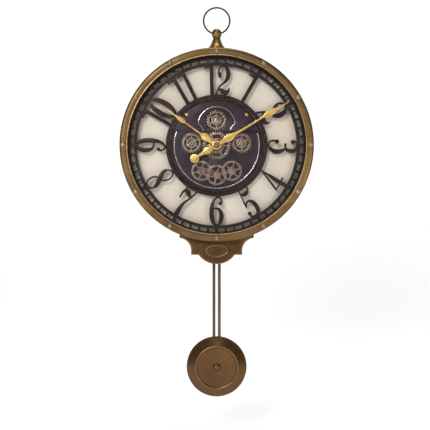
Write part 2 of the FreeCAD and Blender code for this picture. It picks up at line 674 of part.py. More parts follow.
def make_chamber():
    """Stepped ring, chamber plate, the two bridges that lie on it and their bright edges."""
    node("chamber_ring", turned([
        ("ChamberBore", "DialFront"), ("ChamberRadius", "DialFront"),
        ("ChamberRadius", "ChamberFront - 0.8"), ("ChamberRadius - 0.8", "ChamberFront"),
        ("ChamberStep", "ChamberFront"), ("ChamberStep - 0.5", "ChamberFront - 1.1"),
        ("PlateRadius + 0.9", "ChamberFront - 1.4"), ("PlateRadius", "ChamberFront - 2.6"),
        ("PlateRadius", "PlateRear"), ("ChamberBore", "PlateRear")]))

    bearing = "ArborRadius + RunningFit"
    spots = [polar(*place) for place in arbor_places().values()]
    screws = [(f"{side} * PlateScrewX", "PlateScrewRise", 1) for side in (-1, 1)]
    node("chamber_plate", padded([], "PlateRear", "PlateFront", [
        (0, 0, "PlateRadius"), (0, 0, "TubeRadius + 0.3"),
        *((spot.x, spot.z, bearing) for spot in spots), *screws]))

    rear = size("PlateFront")
    lift = size("BridgeFront") - rear
    chord, radius = size("BridgeChord"), size("BridgeRadius")
    edge = math.degrees(math.asin(chord / radius))
    lower = Part.Wire([round_arc(radius, 180 - edge, 360 + edge),
                       Part.makeLine(polar(radius, edge), polar(radius, 180 - edge))])
    holes = [circle_wire(size("TubeRadius") + 0.3)]
    holes += [circle_wire(size("ArborRadius") + 0.5, spot.x, spot.z) for spot in spots]
    lower_plate = plate(lower, holes, lift)

    outer, step = size("CrescentRadius"), size("BridgeChord") + 0.6
    edge = math.degrees(math.asin(step / outer))
    crescent = Part.Wire([round_arc(outer, edge, 180 - edge),
                          Part.makeLine(polar(outer, 180 - edge), polar(outer, edge))])
    arcs, base = omega(0)
    dome = Part.Wire([*arcs, Part.makeLine(*base)])
    holes = [dome] + [circle_wire(1, side * size("PlateScrewX"), size("PlateScrewRise"))
                      for side in (-1, 1)]
    bridges = Part.makeCompound([lower_plate, plate(crescent, holes, lift)])
    bridges.translate(Vector(0, -rear, 0))
    feature("chamber_bridges", bridges)

    width, top = size("TrimWidth"), size("TrimFront")
    arcs, base = omega(0)
    outer_arcs, outer_base = omega(width)
    legs = [Part.makeLine(base[1], outer_base[1]), Part.makeLine(outer_base[0], base[0])]
    omega_face = Part.Face(Part.Wire(Part.__sortEdges__([*arcs, *outer_arcs, *legs])))
    above = Part.makeBox(200, 10, 100, Vector(-100, -5, step))
    omega_strip = omega_face.extrude(Vector(0, size("BridgeFront") - top, 0)).common(above)
    sweep = Part.Face(window(radius - width, radius, 160, 377))
    strip = sweep.extrude(Vector(0, size("BridgeFront") - top, 0))
    trims = Part.makeCompound([*omega_strip.Solids, *strip.Solids])
    trims.translate(Vector(0, -size("BridgeFront"), 0))
    feature("bridge_edge_trims", trims)

    heads = []
    bridge, rise = size("BridgeFront"), size("PlateScrewRise")
    for side, slot_turn in ((-1, 35), (1, -20)):
        across = side * size("PlateScrewX")
        head = solid_rod(size("PlateScrewHead"), bridge, bridge + 1.1, across, rise)
        slot = Part.makeBox(6, 1, 0.6, Vector(-3, -(bridge + 1.2), -0.3))
        slot.rotate(Vector(), Vector(0, 1, 0), slot_turn)
        slot.translate(Vector(across, 0, rise))
        shank = solid_rod(1, size("PlateRear"), bridge, across, rise)
        heads.append(head.fuse(shank).removeSplitter().cut(slot))
    feature("plate_screws", Part.makeCompound(heads))


# ---------------------------------------------------------------------------------------------
# Gears
# ---------------------------------------------------------------------------------------------
def gear_wire(teeth, module, phase, stub=0.8, backlash=0.2):
    """Outline of an involute gear with one tooth centred at the phase angle.

    Half a tooth spans pi / 2N + inv(a) - inv(a_r) at radius r, where inv(x) = tan(x) - x, a is the
    20 degree pressure angle and cos(a_r) = r_base / r; each flank is three chords of that curve.
    """
    pitch = module * teeth / 2
    base = pitch * math.cos(math.radians(20))

    def involute(radius):
        angle = math.acos(min(1.0, base / radius))
        return math.tan(angle) - angle

    def half_angle(radius):
        thinned = math.pi / (2 * teeth) - backlash / (2 * pitch)
        return thinned + involute(pitch) - involute(max(radius, base))

    tip, root = pitch + stub * module, pitch - 1.2 * module
    radii = (root, pitch - 0.45 * module, pitch + 0.2 * stub * module, tip)
    points = []
    for tooth in range(teeth):
        middle = phase + tooth * 360 / teeth
        rising = [(radius, middle - math.degrees(half_angle(radius))) for radius in radii]
        falling = [(radius, middle + math.degrees(half_angle(radius))) for radius in reversed(radii)]
        points += [polar(*place) for place in rising + falling]
    return polygon(points)


def meshing_phase(direction, driver_teeth, driver_phase, driven_teeth):
    """Angle of a tooth of the driven gear that puts it in mesh with the driver.

    direction is the angle of the line of centres, from the driver to the driven gear.
    """
    pitch = 360 / driver_teeth
    nearest = (driver_phase - direction + pitch / 2) % pitch - pitch / 2
    return direction + 180 - nearest * driver_teeth / driven_teeth + 180 / driven_teeth


def gear(teeth, module, phase, rear, front, bore, holes=(), stub=0.8, backlash=0.2):
    """Gear solid about its own axis, with a bore and window wires."""
    openings = [circle_wire(bore), *holes]
    shape = plate(gear_wire(teeth, module, phase, stub, backlash), openings, front - rear)
    shape.translate(Vector(0, -rear, 0))
    return shape


def ring_of_windows(count, inner, outer, spoke, start=0.0):
    """Evenly spaced window wires with spokes of constant width between them."""
    step = 360 / count
    return [window(inner, outer, start + index * step, start + (index + 1) * step, 0.0,
                   spoke / 2, spoke / 2) for index in range(count)]


def ring_of_holes(count, ring, radius, start=0.0):
    """Evenly spaced round holes."""
    spots = [polar(ring, start + index * 360 / count) for index in range(count)]
    return [circle_wire(radius, spot.x, spot.z) for spot in spots]


def pinion_on_arbor(teeth, phase, pinion_rear, pinion_front, front):
    """Arbor through the chamber plate with its pinion cut in one piece."""
    pinion = gear(teeth, size("DriveModule"), phase, pinion_rear, pinion_front, 0.5)
    return pinion.fuse(solid_rod(size("ArborRadius"), pinion_rear, front)).removeSplitter()


def make_gears():
    """Centre gear and its hidden drive wheels on one tube, and the gears round it.

    Each outer gear shares its node with its arbor, because the two are pressed together.
    """
    module, drive = size("GearModule"), size("DriveModule")
    centre, planet = int(size("CentreTeeth")), int(size("PlanetTeeth"))
    rear, front, arbor = size("GearRear"), size("GearFront"), size("ArborRadius")
    tube_radius = size("TubeRadius")

    tube("centre_gear_tube", "BushRadius + RunningFit", "TubeRadius", "TubeRear", "TubeFront")
    windows = ring_of_windows(6, 11.6, 17.4, 2.4)
    blank = gear(centre, module, 0, rear, front, tube_radius, windows)
    boss = solid_ring(9.4, 11.4, front, front + 0.6)
    feature("centre_gear", blank.fuse(boss).removeSplitter())

    lower_teeth, side_teeth = int(size("LowerDriveTeeth")), int(size("SideDriveTeeth"))
    for label, teeth, first, last, spoke in (
            ("lower_drive_wheel", lower_teeth, "LowerDriveRear", "LowerDriveFront", 6),
            ("side_drive_wheel", side_teeth, "SideDriveRear", "SideDriveFront", 5)):
        windows = ring_of_windows(6, 11, teeth * drive / 2 - 5, spoke)
        feature(label, gear(teeth, drive, 0, size(first), size(last), tube_radius, windows))

    planet_windows = ring_of_windows(6, 8.2, 11.5, 1.7, 30) + ring_of_holes(6, 5.1, 1.2)
    lower_windows = ring_of_windows(6, 6.4, 12.8, 2, 15) + ring_of_holes(6, 4.4, 0.9, 15)
    lower_module = 2 * size("LowerTip") / 61
    for name, (reach, direction) in arbor_places().items():
        spot = Placement(polar(reach, direction), Rotation())
        if name in ("top", "left", "right"):
            teeth = int(size("SidePinionTeeth"))
            phase = meshing_phase(direction, side_teeth, 0, teeth)
            wheel = gear(planet, module, 7.5, rear, front, arbor, planet_windows)
            pinion = pinion_on_arbor(teeth, phase, size("SideDriveRear") - 0.1,
                                     size("SideDriveFront") + 0.2, front + 0.8)
        else:
            middle = name == "lower_middle"
            first = size("MiddleRear") if middle else rear
            last = size("MiddleFront") if middle else size("LowerFront")
            teeth = int(size("LowerPinionTeeth"))
            phase = meshing_phase(direction, lower_teeth, 0, teeth)
            wheel = gear(60, lower_module, 0, first, last, arbor, lower_windows, 0.5, 0.1)
            pinion = pinion_on_arbor(teeth, phase, size("LowerDriveRear") - 0.2,
                                     size("LowerDriveFront") + 0.2, last + 0.7)
        feature(f"{name}_gear", Part.makeCompound([wheel, pinion]), spot)


def make_motor():
    """Slow gear motor behind the dial that turns the lower drive wheel."""
    angle, reach = size("MotorAngle"), size("LowerReach")
    spot = polar(reach, angle)
    can = rod("MotorRadius", "MotorRear", "DialRear - 1.5", spot.x, spot.z)
    nose = rod(2.5, "DialRear - 1.5", "DialFront", spot.x, spot.z)
    bore = rod("1 + RunningFit", "DialRear - 9", "DialFront + 1", spot.x, spot.z)
    ears = rod("MotorRadius + 3", "DialRear - 1.5", "DialRear", spot.x, spot.z)
    node("motor_body", cut(fused(can, ears, nose), bore))
    teeth = int(size("LowerPinionTeeth"))
    phase = meshing_phase(angle, int(size("LowerDriveTeeth")), 0, teeth)
    rear = size("LowerDriveRear") - 0.2
    shape = gear(teeth, size("DriveModule"), phase, rear, size("LowerDriveFront") + 0.2, 0.5)
    shaft = solid_rod(1, size("DialRear") - 8, size("LowerDriveFront") + 0.2)
    feature("motor_pinion", shape.fuse(shaft).removeSplitter(), Placement(spot, Rotation()))


# ---------------------------------------------------------------------------------------------
# Hands and movement
# ---------------------------------------------------------------------------------------------
def half_outline(*runs):
    """Mirror a right-hand side, given as smooth runs of (half-width, distance), into a face."""
    edges = []
    for side in (1, -1):
        for run in runs:
            edges.append(spline([Vector(side * half, 0, along) for half, along in run]))
    ends = [runs[0][0], runs[-1][-1]]
    for half, along in ends:
        if half > 0:
            edges.append(Part.makeLine(Vector(-half, 0, along), Vector(half, 0, along)))
    return Part.Face(Part.Wire(Part.__sortEdges__(edges)))


def kite(near, widest, far, half, neck):
    """Runs of a hand's blunt kite between its hub and its stem."""
    return [[(1.9, near), (half * 0.86, widest - 2.6)],
            [(half * 0.86, widest - 2.6), (half, widest)],
            [(half, widest), (half * 0.62, widest + 6), (neck * 1.5, far - 6), (neck, far)]]


def make_hands():
    """Flat hands, each with a hub disc, drawn pointing up and turned to the time they show."""
    hub, thick = size("HubRadius"), size("MinuteHandFront - MinuteHandRear")
    minute = [disc(0, 0, hub),
              half_outline(*kite(5, 23.5, 43, 6.5, 1.5), [(1.5, 43), (1.1, 84.5)],
                           [(1.1, 84.5), (3.4, 88.5), (5, 95.5), (3.2, 106), (1.5, 116)],
                           [(1.5, 116), (0.6, 133.5)])]
    tail = half_outline([(1.8, -5), (6.2, -16.3)], [(6.2, -16.3), (3.2, -22.5), (1.3, -34)])
    minute += [tail, disc(0, -40, 7)]
    hour = [disc(0, 0, hub - 0.2),
            half_outline(*kite(5, 21.5, 36, 6, 1.4), [(1.4, 36), (1, 60)],
                         [(1, 60), (3.1, 63), (3.9, 67.4), (2.9, 73.5), (1, 80.5)],
                         [(1, 80.5), (0.5, 105)])]
    for label, faces, rear, bore, turn in (
            ("minute_hand", minute, "MinuteHandRear", "MinuteShaftRadius", "MinuteHandTurn"),
            ("hour_hand", hour, "HourHandRear", "HourTubeRadius", "HourHandTurn")):
        blanks = [face.extrude(Vector(0, -thick, 0)) for face in faces]
        shape = blanks[0].multiFuse(blanks[1:]).cut(solid_rod(size(bore), -1, thick + 1))
        placement = Placement(Vector(0, -size(rear), 0), Rotation(Vector(0, 1, 0), size(turn)))
        feature(label, shape.removeSplitter(), placement)
    node("hand_cap_nut", turned([
        ("MinuteShaftRadius", "MinuteHandFront"), ("NutCapRadius", "MinuteHandFront"),
        ("NutCapRadius", "MinuteHandFront + 1.2"), ("NutCapRadius - 1.3", "MinuteHandFront + 2.4"),
        ("NutCapRadius - 1.9", "MinuteHandFront + 1.9"), (2.4, "NutCapFront - 0.9"),
        (1.4, "NutCapFront"), ("MinuteShaftRadius - 0.6", "NutCapFront"),
        ("MinuteShaftRadius - 0.6", "MinuteHandFront + 1.6"),
        ("MinuteShaftRadius", "MinuteHandFront + 1.6")]))


def make_movement():
    """Quartz movement: box, motion work, battery, setting knob and the shafts to the hands."""
    inside = "MovementHalf - MovementWall"
    floor = "MovementRear + MovementWall"
    tub = block("-MovementHalf", "MovementHalf", "MovementRear", "MovementLid",
                "-MovementHalf", "MovementHalf")
    hollow = block(f"-({inside})", inside, floor, "MovementLid + 1", f"-({inside})", inside)
    boss = rod(3.2, floor, 15.8)
    shell = cut(fused(cut(tub, hollow), boss), rod("MinuteShaftRadius + RunningFit", 13, 17),
                rod("1.2 + RunningFit", "MovementRear - 1", f"{floor} + 1", 0, "-WorkReach"))
    node("movement_rear_shell", shell)
    node("movement_front_plate", padded(
        [rectangle("-MovementHalf", "MovementHalf", "-MovementHalf", "MovementHalf")],
        "MovementLid", "MovementFront", [(0, 0, "BushRadius")]))
    bush = turned([
        ("BushBore", "MovementLid - 1"), (6, "MovementLid - 1"), (6, "MovementLid"),
        ("BushRadius", "MovementLid"), ("BushRadius", "BushFront"), ("BushBore", "BushFront")])
    collar = turned([
        ("BushRadius", "TubeFront + 0.4"), ("TubeRadius + 0.6", "TubeFront + 0.4"),
        ("TubeRadius + 0.6", "BushFront - 0.2"), ("BushRadius", "BushFront - 0.2")])
    node("movement_bush", group(bush, collar))
    tube("bush_washer", "BushRadius", 9, "MovementFront", "DialRear")
    hexagon = polygon([polar(7, angle) for angle in range(30, 390, 60)])
    nut = plate(hexagon, [circle_wire(size("BushRadius"))], 1.7)
    feature("bush_nut", nut, Placement(Vector(0, -size("DialFront"), 0), Rotation()))

    battery = rod("BatteryRadius", 0, "BatteryLength - 1.5")
    button = rod(2.7, "BatteryLength - 1.5", "BatteryLength")
    cell = fused(battery, button)
    cell.Placement = Placement(Vector(), Rotation(Vector(0, 0, 1), 90))
    node("battery", place(cell, "-BatteryLength / 2", "BatteryDepth", "BatteryRise"))

    reach = size("WorkReach")
    minute_arbor = size("MinuteShaftRadius")
    cannon = gear(12, 0.5, 0, 17.6, 19.4, minute_arbor - 0.4, (), 0.6, 0.12)
    shaft = solid_rod(minute_arbor, 13.2, size("MinuteHandFront") + 1.6)
    feature("minute_arbor", shaft.fuse(cannon).removeSplitter())

    phase = meshing_phase(270, 12, 0, 36)
    wheel = gear(36, 0.5, phase, 17.9, 19.1, 0.6, (), 0.6, 0.12)
    pinion = gear(10, 0.48, 0, 19.1, 22, 0.6, (), 0.6, 0.12)
    arbor = solid_rod(1.2, size("MovementRear") - 0.4, 22.6)
    minute_wheel = wheel.multiFuse([pinion, arbor]).removeSplitter()
    feature("minute_wheel", minute_wheel, Placement(Vector(0, 0, -reach), Rotation()))
    knob_rim = solid_rod(size("KnobRadius"), 3, size("MovementRear") - 0.4)
    notches = [solid_rod(0.7, 2, 7, spot.x, spot.z)
               for spot in (polar(size("KnobRadius"), step * 20) for step in range(18))]
    feature("time_set_knob", knob_rim.cut(Part.makeCompound(notches)),
            Placement(Vector(0, 0, -reach), Rotation()))

    phase = meshing_phase(90, 10, 0, 40)
    hour_radius = size("HourTubeRadius")
    wheel = gear(40, 0.48, phase, 20.5, 21.7, hour_radius - 0.5, (), 0.6, 0.12)
    sleeve = solid_rod(hour_radius, 20.5, size("HourHandFront") + 0.5)
    shape = sleeve.fuse(wheel).removeSplitter().cut(solid_rod(size("HourTubeBore"), 15, 50))
    feature("hour_tube", shape)

    core = fused(upright(5, -22, -20, -20, 15), upright(2, -20, 2, -20, 15),
                 upright(5, 2, 4, -20, 15))
    winding = cut(upright(4.4, -20, 2, -20, 15), upright(2, -21, 3, -20, 15))
    node("stepper_coil", group(core, winding))


# ---------------------------------------------------------------------------------------------
# Pendulum
# ---------------------------------------------------------------------------------------------
def make_driver():
    """Housing with the drive coil under the movement, and the pin that the pendulum hangs on."""
    inside = "DriverHalf - DriverWall"
    rear, front = "MovementRear + DriverWall", "DriverFront - DriverWall"
    shell = block("-DriverHalf", "DriverHalf", "MovementRear", "DriverFront", "-DriverBottom",
                  "-MovementHalf")
    hollow = block(f"-({inside})", inside, rear, front, "-DriverBottom - 1",
                   "-MovementHalf - DriverWall")
    bores = rod("PinRadius", "MovementRear - 1", "DriverFront + 1", 0, "-PivotDrop")
    node("driver_housing", cut(shell, hollow, bores))
    node("pivot_pin", rod("PinRadius", "MovementRear", "DriverFront", 0, "-PivotDrop"))
    tube("driver_coil", 2, 6, rear, "MovementRear + 4.4", 0, "-PivotDrop - 15.5")


def make_pendulum():
    """Hanger, yoke and twin rods with a spun bob."""
    hub = rod(3.6, "LeafRear - 4", "LeafFront", 0, "-PivotDrop")
    leaf = block("-LeafHalf", "LeafHalf", "LeafRear", "LeafFront", "-YokeBottom", "-PivotDrop")
    bore = rod("PinRadius + RunningFit", 1, 30, 0, "-PivotDrop")
    node("pendulum_hanger", cut(fused(hub, leaf), bore))
    node("hanger_magnet", rod(4, "LeafRear - 2.8", "LeafRear", 0, "-PivotDrop - 15.5"))
    yoke = block("-YokeHalf", "YokeHalf", "RodDepth - 3.2", "LeafRear", "-YokeBottom", "-YokeTop")
    sockets = [upright("RodRadius", "-YokeBottom - 1", "-YokeTop - 2", across, "RodDepth")
               for across in ("-RodSpacing / 2", "RodSpacing / 2")]
    node("pendulum_yoke", cut(yoke, *sockets))
    node("pendulum_rods", group(*[
        upright("RodRadius", "-BobDrop - 4", "-YokeTop - 2", across, "RodDepth")
        for across in ("-RodSpacing / 2", "RodSpacing / 2")]))

    rear, radius, bead = "BobRear + 1.2", "BobRadius", "BobBead"
    shell = turned([
        (2, "BobRear + 13.8"), (10, "BobRear + 13.8"), ("BobBead - 3", "BobRear + 15.1"),
        ("BobBead + 1.2", "BobRear + 15.8"), (f"{radius} - 1.2", "BobRear + 6.4"),
        (f"{radius} - 1.2", rear), (radius, rear), (radius, "BobRear + 7"),
        (f"{radius} - 0.8", "BobRear + 7.8"), ("BobBead + 1.5", "BobRear + 17.1"),
        (f"{bead} + 0.9", "BobRear + 18.1", -1), (f"{bead} - 0.7", "BobRear + 18.1"),
        ("BobBead - 1.5", "BobRear + 16.3"), ("BobBead - 3", "BobRear + 16.5"),
        (10, "BobRear + 15"), (2, "BobRear + 15")], 0, "-BobDrop")
    notch = block("-RodSpacing / 2 - RodRadius - 0.1", "RodSpacing / 2 + RodRadius + 0.1",
                  "RodDepth - RodRadius - 0.1", "RodDepth + RodRadius + 0.1",
                  "-BobDrop + BobRadius - 5", "-BobDrop + BobRadius + 1")
    node("bob_front_shell", cut(shell, notch))
    node("bob_back_plate", rod(radius, "BobRear", rear, 0, "-BobDrop"))
    clamp = block(-10, 10, rear, "BobRear + 13.8", "-BobDrop - 7", "-BobDrop + 7")
    bores = [upright("RodRadius", "-BobDrop - 4", "-BobDrop + 8", across, "RodDepth")
             for across in ("-RodSpacing / 2", "RodSpacing / 2")]
    thread = rod(2, "BobRear + 12", "BobRear + 14", 0, "-BobDrop")
    node("bob_rod_clamp", cut(clamp, *bores, thread))
    node("bob_knob", turned([
        (0, "BobRear + 12"), (2, "BobRear + 12"), (2, "BobRear + 15"), ("BobKnobRadius", "BobRear + 15"),
        ("BobKnobRadius", "BobRear + 16.2"), ("BobKnobRadius - 0.7", "BobRear + 16.8"),
        ("BobKnobRadius - 1", "BobRear + 17.2", 8.5), (0, "BobRear + 18.9")], 0, "-BobDrop"))


# ---------------------------------------------------------------------------------------------
# Finial, bow ring and apron
# ---------------------------------------------------------------------------------------------
def make_finial():
    """Ball finial screwed to the top of the drum, with the bow ring through its ball."""
    ball, radius = size("BallRise"), size("BallRadius")
    body = DOC.addObject("PartDesign::Body", "Body")
    sketch = new_sketch(body, "XZ_Plane")
    neck = "BallRise - 4.6"
    waist = math.sqrt(radius ** 2 - 4.6 ** 2)
    add_loop(sketch, [
        (0, "DrumRadius - 1"), (11.4, "DrumRadius - 1"), (11.4, "DrumRadius + 9"),
        (12.6, "DrumRadius + 10"), (12.6, "DrumRadius + 12"), (12, "DrumRadius + 12.8", -40),
        (5.7, f"{neck} - 1.6"), (6.6, f"{neck} - 0.9"), (waist, neck, "BallRadius"),
        ("BallRadius", "BallRise", "BallRadius"), (0, "BallRise + BallRadius")])
    revolution = body.newObject("PartDesign::Revolution", "Turned")
    revolution.Profile = sketch
    revolution.ReferenceAxis = (sketch, ["V_Axis"])
    revolution.Angle = 360
    place(body, 0, "FinialDepth", 0)

    gap, ring = size("BowWire + BowFit"), size("BowRadius")
    half = radius + 1
    flare = gap + ring - math.sqrt(ring ** 2 - half ** 2)
    mouth = Part.Arc(Vector(-half, 0, flare), Vector(0, 0, gap), Vector(half, 0, flare)).toShape()
    sides = [Part.makeLine(Vector(half, 0, flare), Vector(half, 0, 0)),
             Part.makeLine(Vector(half, 0, 0), Vector(-half, 0, 0)),
             Part.makeLine(Vector(-half, 0, 0), Vector(-half, 0, flare))]
    trumpet = Part.Face(Part.Wire([mouth, *sides])).revolve(Vector(), Vector(1, 0, 0), 360)
    hole = holder("BowHole", trumpet, Placement(Vector(0, -size("FinialDepth"), ball), Rotation()))
    seat = rod("DrumRadius", "FinialDepth - 20", "FinialDepth + 20")
    bore = upright(2, "DrumRadius - 2", "DrumRadius + 5", 0, "FinialDepth")
    node("finial", cut(body, hole, seat, bore))

    bow = DOC.addObject("Part::Torus", "Bow")
    bind(bow, "Radius1", "BowRadius")
    bind(bow, "Radius2", "BowWire")
    bow.Placement = Placement(Vector(), FORWARD)
    node("bow_ring", place(bow, 0, "FinialDepth", "BallRise + BowRadius"))


def make_apron():
    """Shaped apron below the case with an oval medallion, held by a bracket and two screws."""
    corner = "-sqrt((DrumRadius + 0.05)^2 - ApronHalf^2)"
    body = node("apron", padded([[
        ("-ApronHalf", corner), ("-ApronHalf", "-ApronEar", "-ApronScoop"),
        ("-ApronWaist", "-ApronShoulder"), ("-ApronWaist", "-ApronFoot"),
        ("-ApronNeck", "-ApronFoot", "ApronBelly"), ("ApronNeck", "-ApronFoot"),
        ("ApronWaist", "-ApronFoot"), ("ApronWaist", "-ApronShoulder", "-ApronScoop"),
        ("ApronHalf", "-ApronEar"),
        ("ApronHalf", corner, "-(DrumRadius + 0.05)")]], "ApronRear", "ApronFront"))
    DOC.recompute()
    front = -size("ApronFront")
    pad = body.Tip
    edges = [f"Edge{number}" for number, edge in enumerate(pad.Shape.Edges, start=1)
             if all(abs(vertex.Y - front) < 1e-6 for vertex in edge.Vertexes)
             and edge.CenterOfMass.z < -size("ApronEar")]
    chamfer = body.newObject("PartDesign::Chamfer", "Bevel")
    chamfer.Base = (pad, edges)
    bind(chamfer, "Size", "ApronBevel")

    long_half, short_half = size("MedallionLong"), size("MedallionShort")
    rise = -size("MedallionDrop")
    base = oval(0, rise, long_half, short_half).extrude(Vector(0, -0.7, 0))
    rim = oval(0, rise, long_half, short_half, long_half - 1.2, short_half - 1.2)
    rim = rim.extrude(Vector(0, -1.5, 0))
    shape = base.fuse(rim).removeSplitter()
    feature("oval_medallion", shape, Placement(Vector(0, -size("ApronFront"), 0), Rotation()))

    arc_end = "-sqrt((DrumRadius + 0.02)^2 - BracketHalf^2)"
    blank = padded([[
        ("-BracketHalf", arc_end), ("-BracketHalf", "-BracketBottom"), ("BracketHalf", "-BracketBottom"),
        ("BracketHalf", arc_end, "-(DrumRadius + 0.02)")]], "BracketRear", "ApronRear")
    holes = [upright(2, "-BracketBottom - 1", "-DrumRadius + 6", across, "ScrewDepth")
             for across in ("-ScrewReach", "ScrewReach")]
    node("apron_bracket", cut(blank, *holes))
    screws = []
    for across in ("-ScrewReach", "ScrewReach"):
        head = upright(3.4, "-BracketBottom - 2.2", "-BracketBottom", across, "ScrewDepth")
        shank = upright(1.9, "-BracketBottom", "-DrumRadius + 5", across, "ScrewDepth")
        screws.append(fused(head, shank))
    head = upright(3.4, "DrumRadius - DrumWall - 2.3", "DrumRadius - DrumWall - 0.1", 0, "FinialDepth")
    shank = upright(1.9, "DrumRadius - DrumWall - 0.1", "DrumRadius + 4.6", 0, "FinialDepth")
    node("case_screws", group(*screws, fused(head, shank)))


# ---------------------------------------------------------------------------------------------
# Build, check and export
# ---------------------------------------------------------------------------------------------
def check():
    """Stop if any object failed or any sub-part has no valid shape."""
    for thing in DOC.Objects:
        if {"Invalid", "Error"} & set(thing.State):
            raise RuntimeError(f"{thing.Label} failed: {thing.State}")
    for label, thing in NODES.items():
        if thing.Shape.isNull() or not thing.Shape.isValid() or not thing.Shape.Solids:
            raise RuntimeError(f"{label} has no valid solid")


def main():
    """Make every sub-part and write one STEP file for each."""
    for make in (make_case, make_bezel, make_dial, make_numerals, make_chamber, make_gears,
                 make_motor, make_hands, make_movement, make_driver, make_pendulum, make_finial,
                 make_apron):
        make()
    DOC.recompute()
    check()
    os.makedirs("parts", exist_ok=True)
    for label, thing in NODES.items():
        thing.Shape.exportStep(f"parts/{label}.step")
        print(f"{label}: {len(thing.Shape.Solids)} solid(s), {thing.Shape.Volume:.0f} mm3")
    print(len(NODES), "nodes")


main()
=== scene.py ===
"""Round pendulum wall clock: antique brass case, openwork dial, gear chamber and twin-rod pendulum."""

import json
import math

import bmesh
import bpy
import numpy as np
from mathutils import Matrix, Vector

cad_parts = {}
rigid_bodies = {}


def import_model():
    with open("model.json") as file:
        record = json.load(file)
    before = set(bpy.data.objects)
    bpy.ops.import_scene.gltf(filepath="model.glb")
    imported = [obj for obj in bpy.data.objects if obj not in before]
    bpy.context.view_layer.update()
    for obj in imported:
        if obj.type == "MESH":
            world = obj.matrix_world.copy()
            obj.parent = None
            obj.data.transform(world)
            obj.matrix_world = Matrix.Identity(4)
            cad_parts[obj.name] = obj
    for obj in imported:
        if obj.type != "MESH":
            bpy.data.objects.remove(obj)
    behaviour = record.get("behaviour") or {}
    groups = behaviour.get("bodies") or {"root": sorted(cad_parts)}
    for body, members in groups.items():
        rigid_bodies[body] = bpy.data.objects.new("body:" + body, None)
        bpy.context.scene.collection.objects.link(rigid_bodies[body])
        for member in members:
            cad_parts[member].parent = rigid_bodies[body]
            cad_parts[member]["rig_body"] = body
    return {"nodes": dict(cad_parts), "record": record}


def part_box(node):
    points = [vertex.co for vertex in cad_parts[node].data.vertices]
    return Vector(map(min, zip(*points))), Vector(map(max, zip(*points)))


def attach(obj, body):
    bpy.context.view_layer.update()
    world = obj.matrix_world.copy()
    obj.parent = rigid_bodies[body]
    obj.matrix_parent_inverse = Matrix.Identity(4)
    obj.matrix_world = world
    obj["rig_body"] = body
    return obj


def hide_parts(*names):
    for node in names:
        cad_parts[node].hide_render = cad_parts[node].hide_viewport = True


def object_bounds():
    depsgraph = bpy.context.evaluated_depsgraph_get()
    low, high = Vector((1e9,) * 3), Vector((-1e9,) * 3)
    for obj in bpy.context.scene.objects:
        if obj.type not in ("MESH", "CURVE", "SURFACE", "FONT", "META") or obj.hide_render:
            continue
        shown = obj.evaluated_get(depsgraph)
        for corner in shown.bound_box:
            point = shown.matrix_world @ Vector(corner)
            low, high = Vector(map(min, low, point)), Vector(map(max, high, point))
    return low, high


MM = 0.001
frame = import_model()
NODES = frame["nodes"]
CAD_BOX = [list(corner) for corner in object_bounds()]


# ---------------------------------------------------------------------------------------------
# Measures of the frame
# ---------------------------------------------------------------------------------------------
def mm_box(node):
    """A CAD node's box in millimetres as two arrays."""
    low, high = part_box(node)
    return np.array(low) * 1000, np.array(high) * 1000


def front_middle(node):
    """Middle of a CAD node's box seen from the front, (x, z) in millimetres."""
    middle = sum(mm_box(node)) / 2
    return float(middle[0]), float(middle[2])


# ---------------------------------------------------------------------------------------------
# Finishes
# ---------------------------------------------------------------------------------------------
PATINA_MEAN = 0.26              # about the average of two noises multiplied together
CLOUD_RANGE = (0.35, 0.68)      # most of a single soft noise lies between these
WAVE_RADIANS = 20               # the wave texture turns through this angle in each unit of length


def linear(hex_colour):
    """sRGB hex to linear RGBA."""
    channels = [int(hex_colour[i:i + 2], 16) / 255 for i in (0, 2, 4)]
    return tuple(c / 12.92 if c <= 0.04045 else ((c + 0.055) / 1.055) ** 2.4 for c in channels) + (1,)


def add(tree, kind, links=None, **settings):
    """Add a node, set its inputs or properties by name, and link its inputs to output sockets."""
    node = tree.nodes.new(kind)
    for name, value in settings.items():
        if hasattr(node, name):
            setattr(node, name, value)
        else:
            node.inputs[name.replace("_", " ")].default_value = value
    for name, socket in (links or {}).items():
        tree.links.new(node.inputs[name], socket)
    return node


def blank_material(name):
    """New material with one Principled shader; returns the material, its tree and the shader."""
    material = bpy.data.materials.new(name)
    material.use_nodes = True
    shader = material.node_tree.nodes["Principled BSDF"]
    return material, material.node_tree, shader


def ramp(tree, factor, stops):
    """Colour ramp through (position, hex colour) stops."""
    node = add(tree, "ShaderNodeValToRGB", {"Fac": factor})
    elements = node.color_ramp.elements
    while len(elements) < len(stops):
        elements.new(0.5)
    for element, (position, colour) in zip(elements, stops):
        element.position = position
        element.color = linear(colour)
    return node.outputs["Color"]


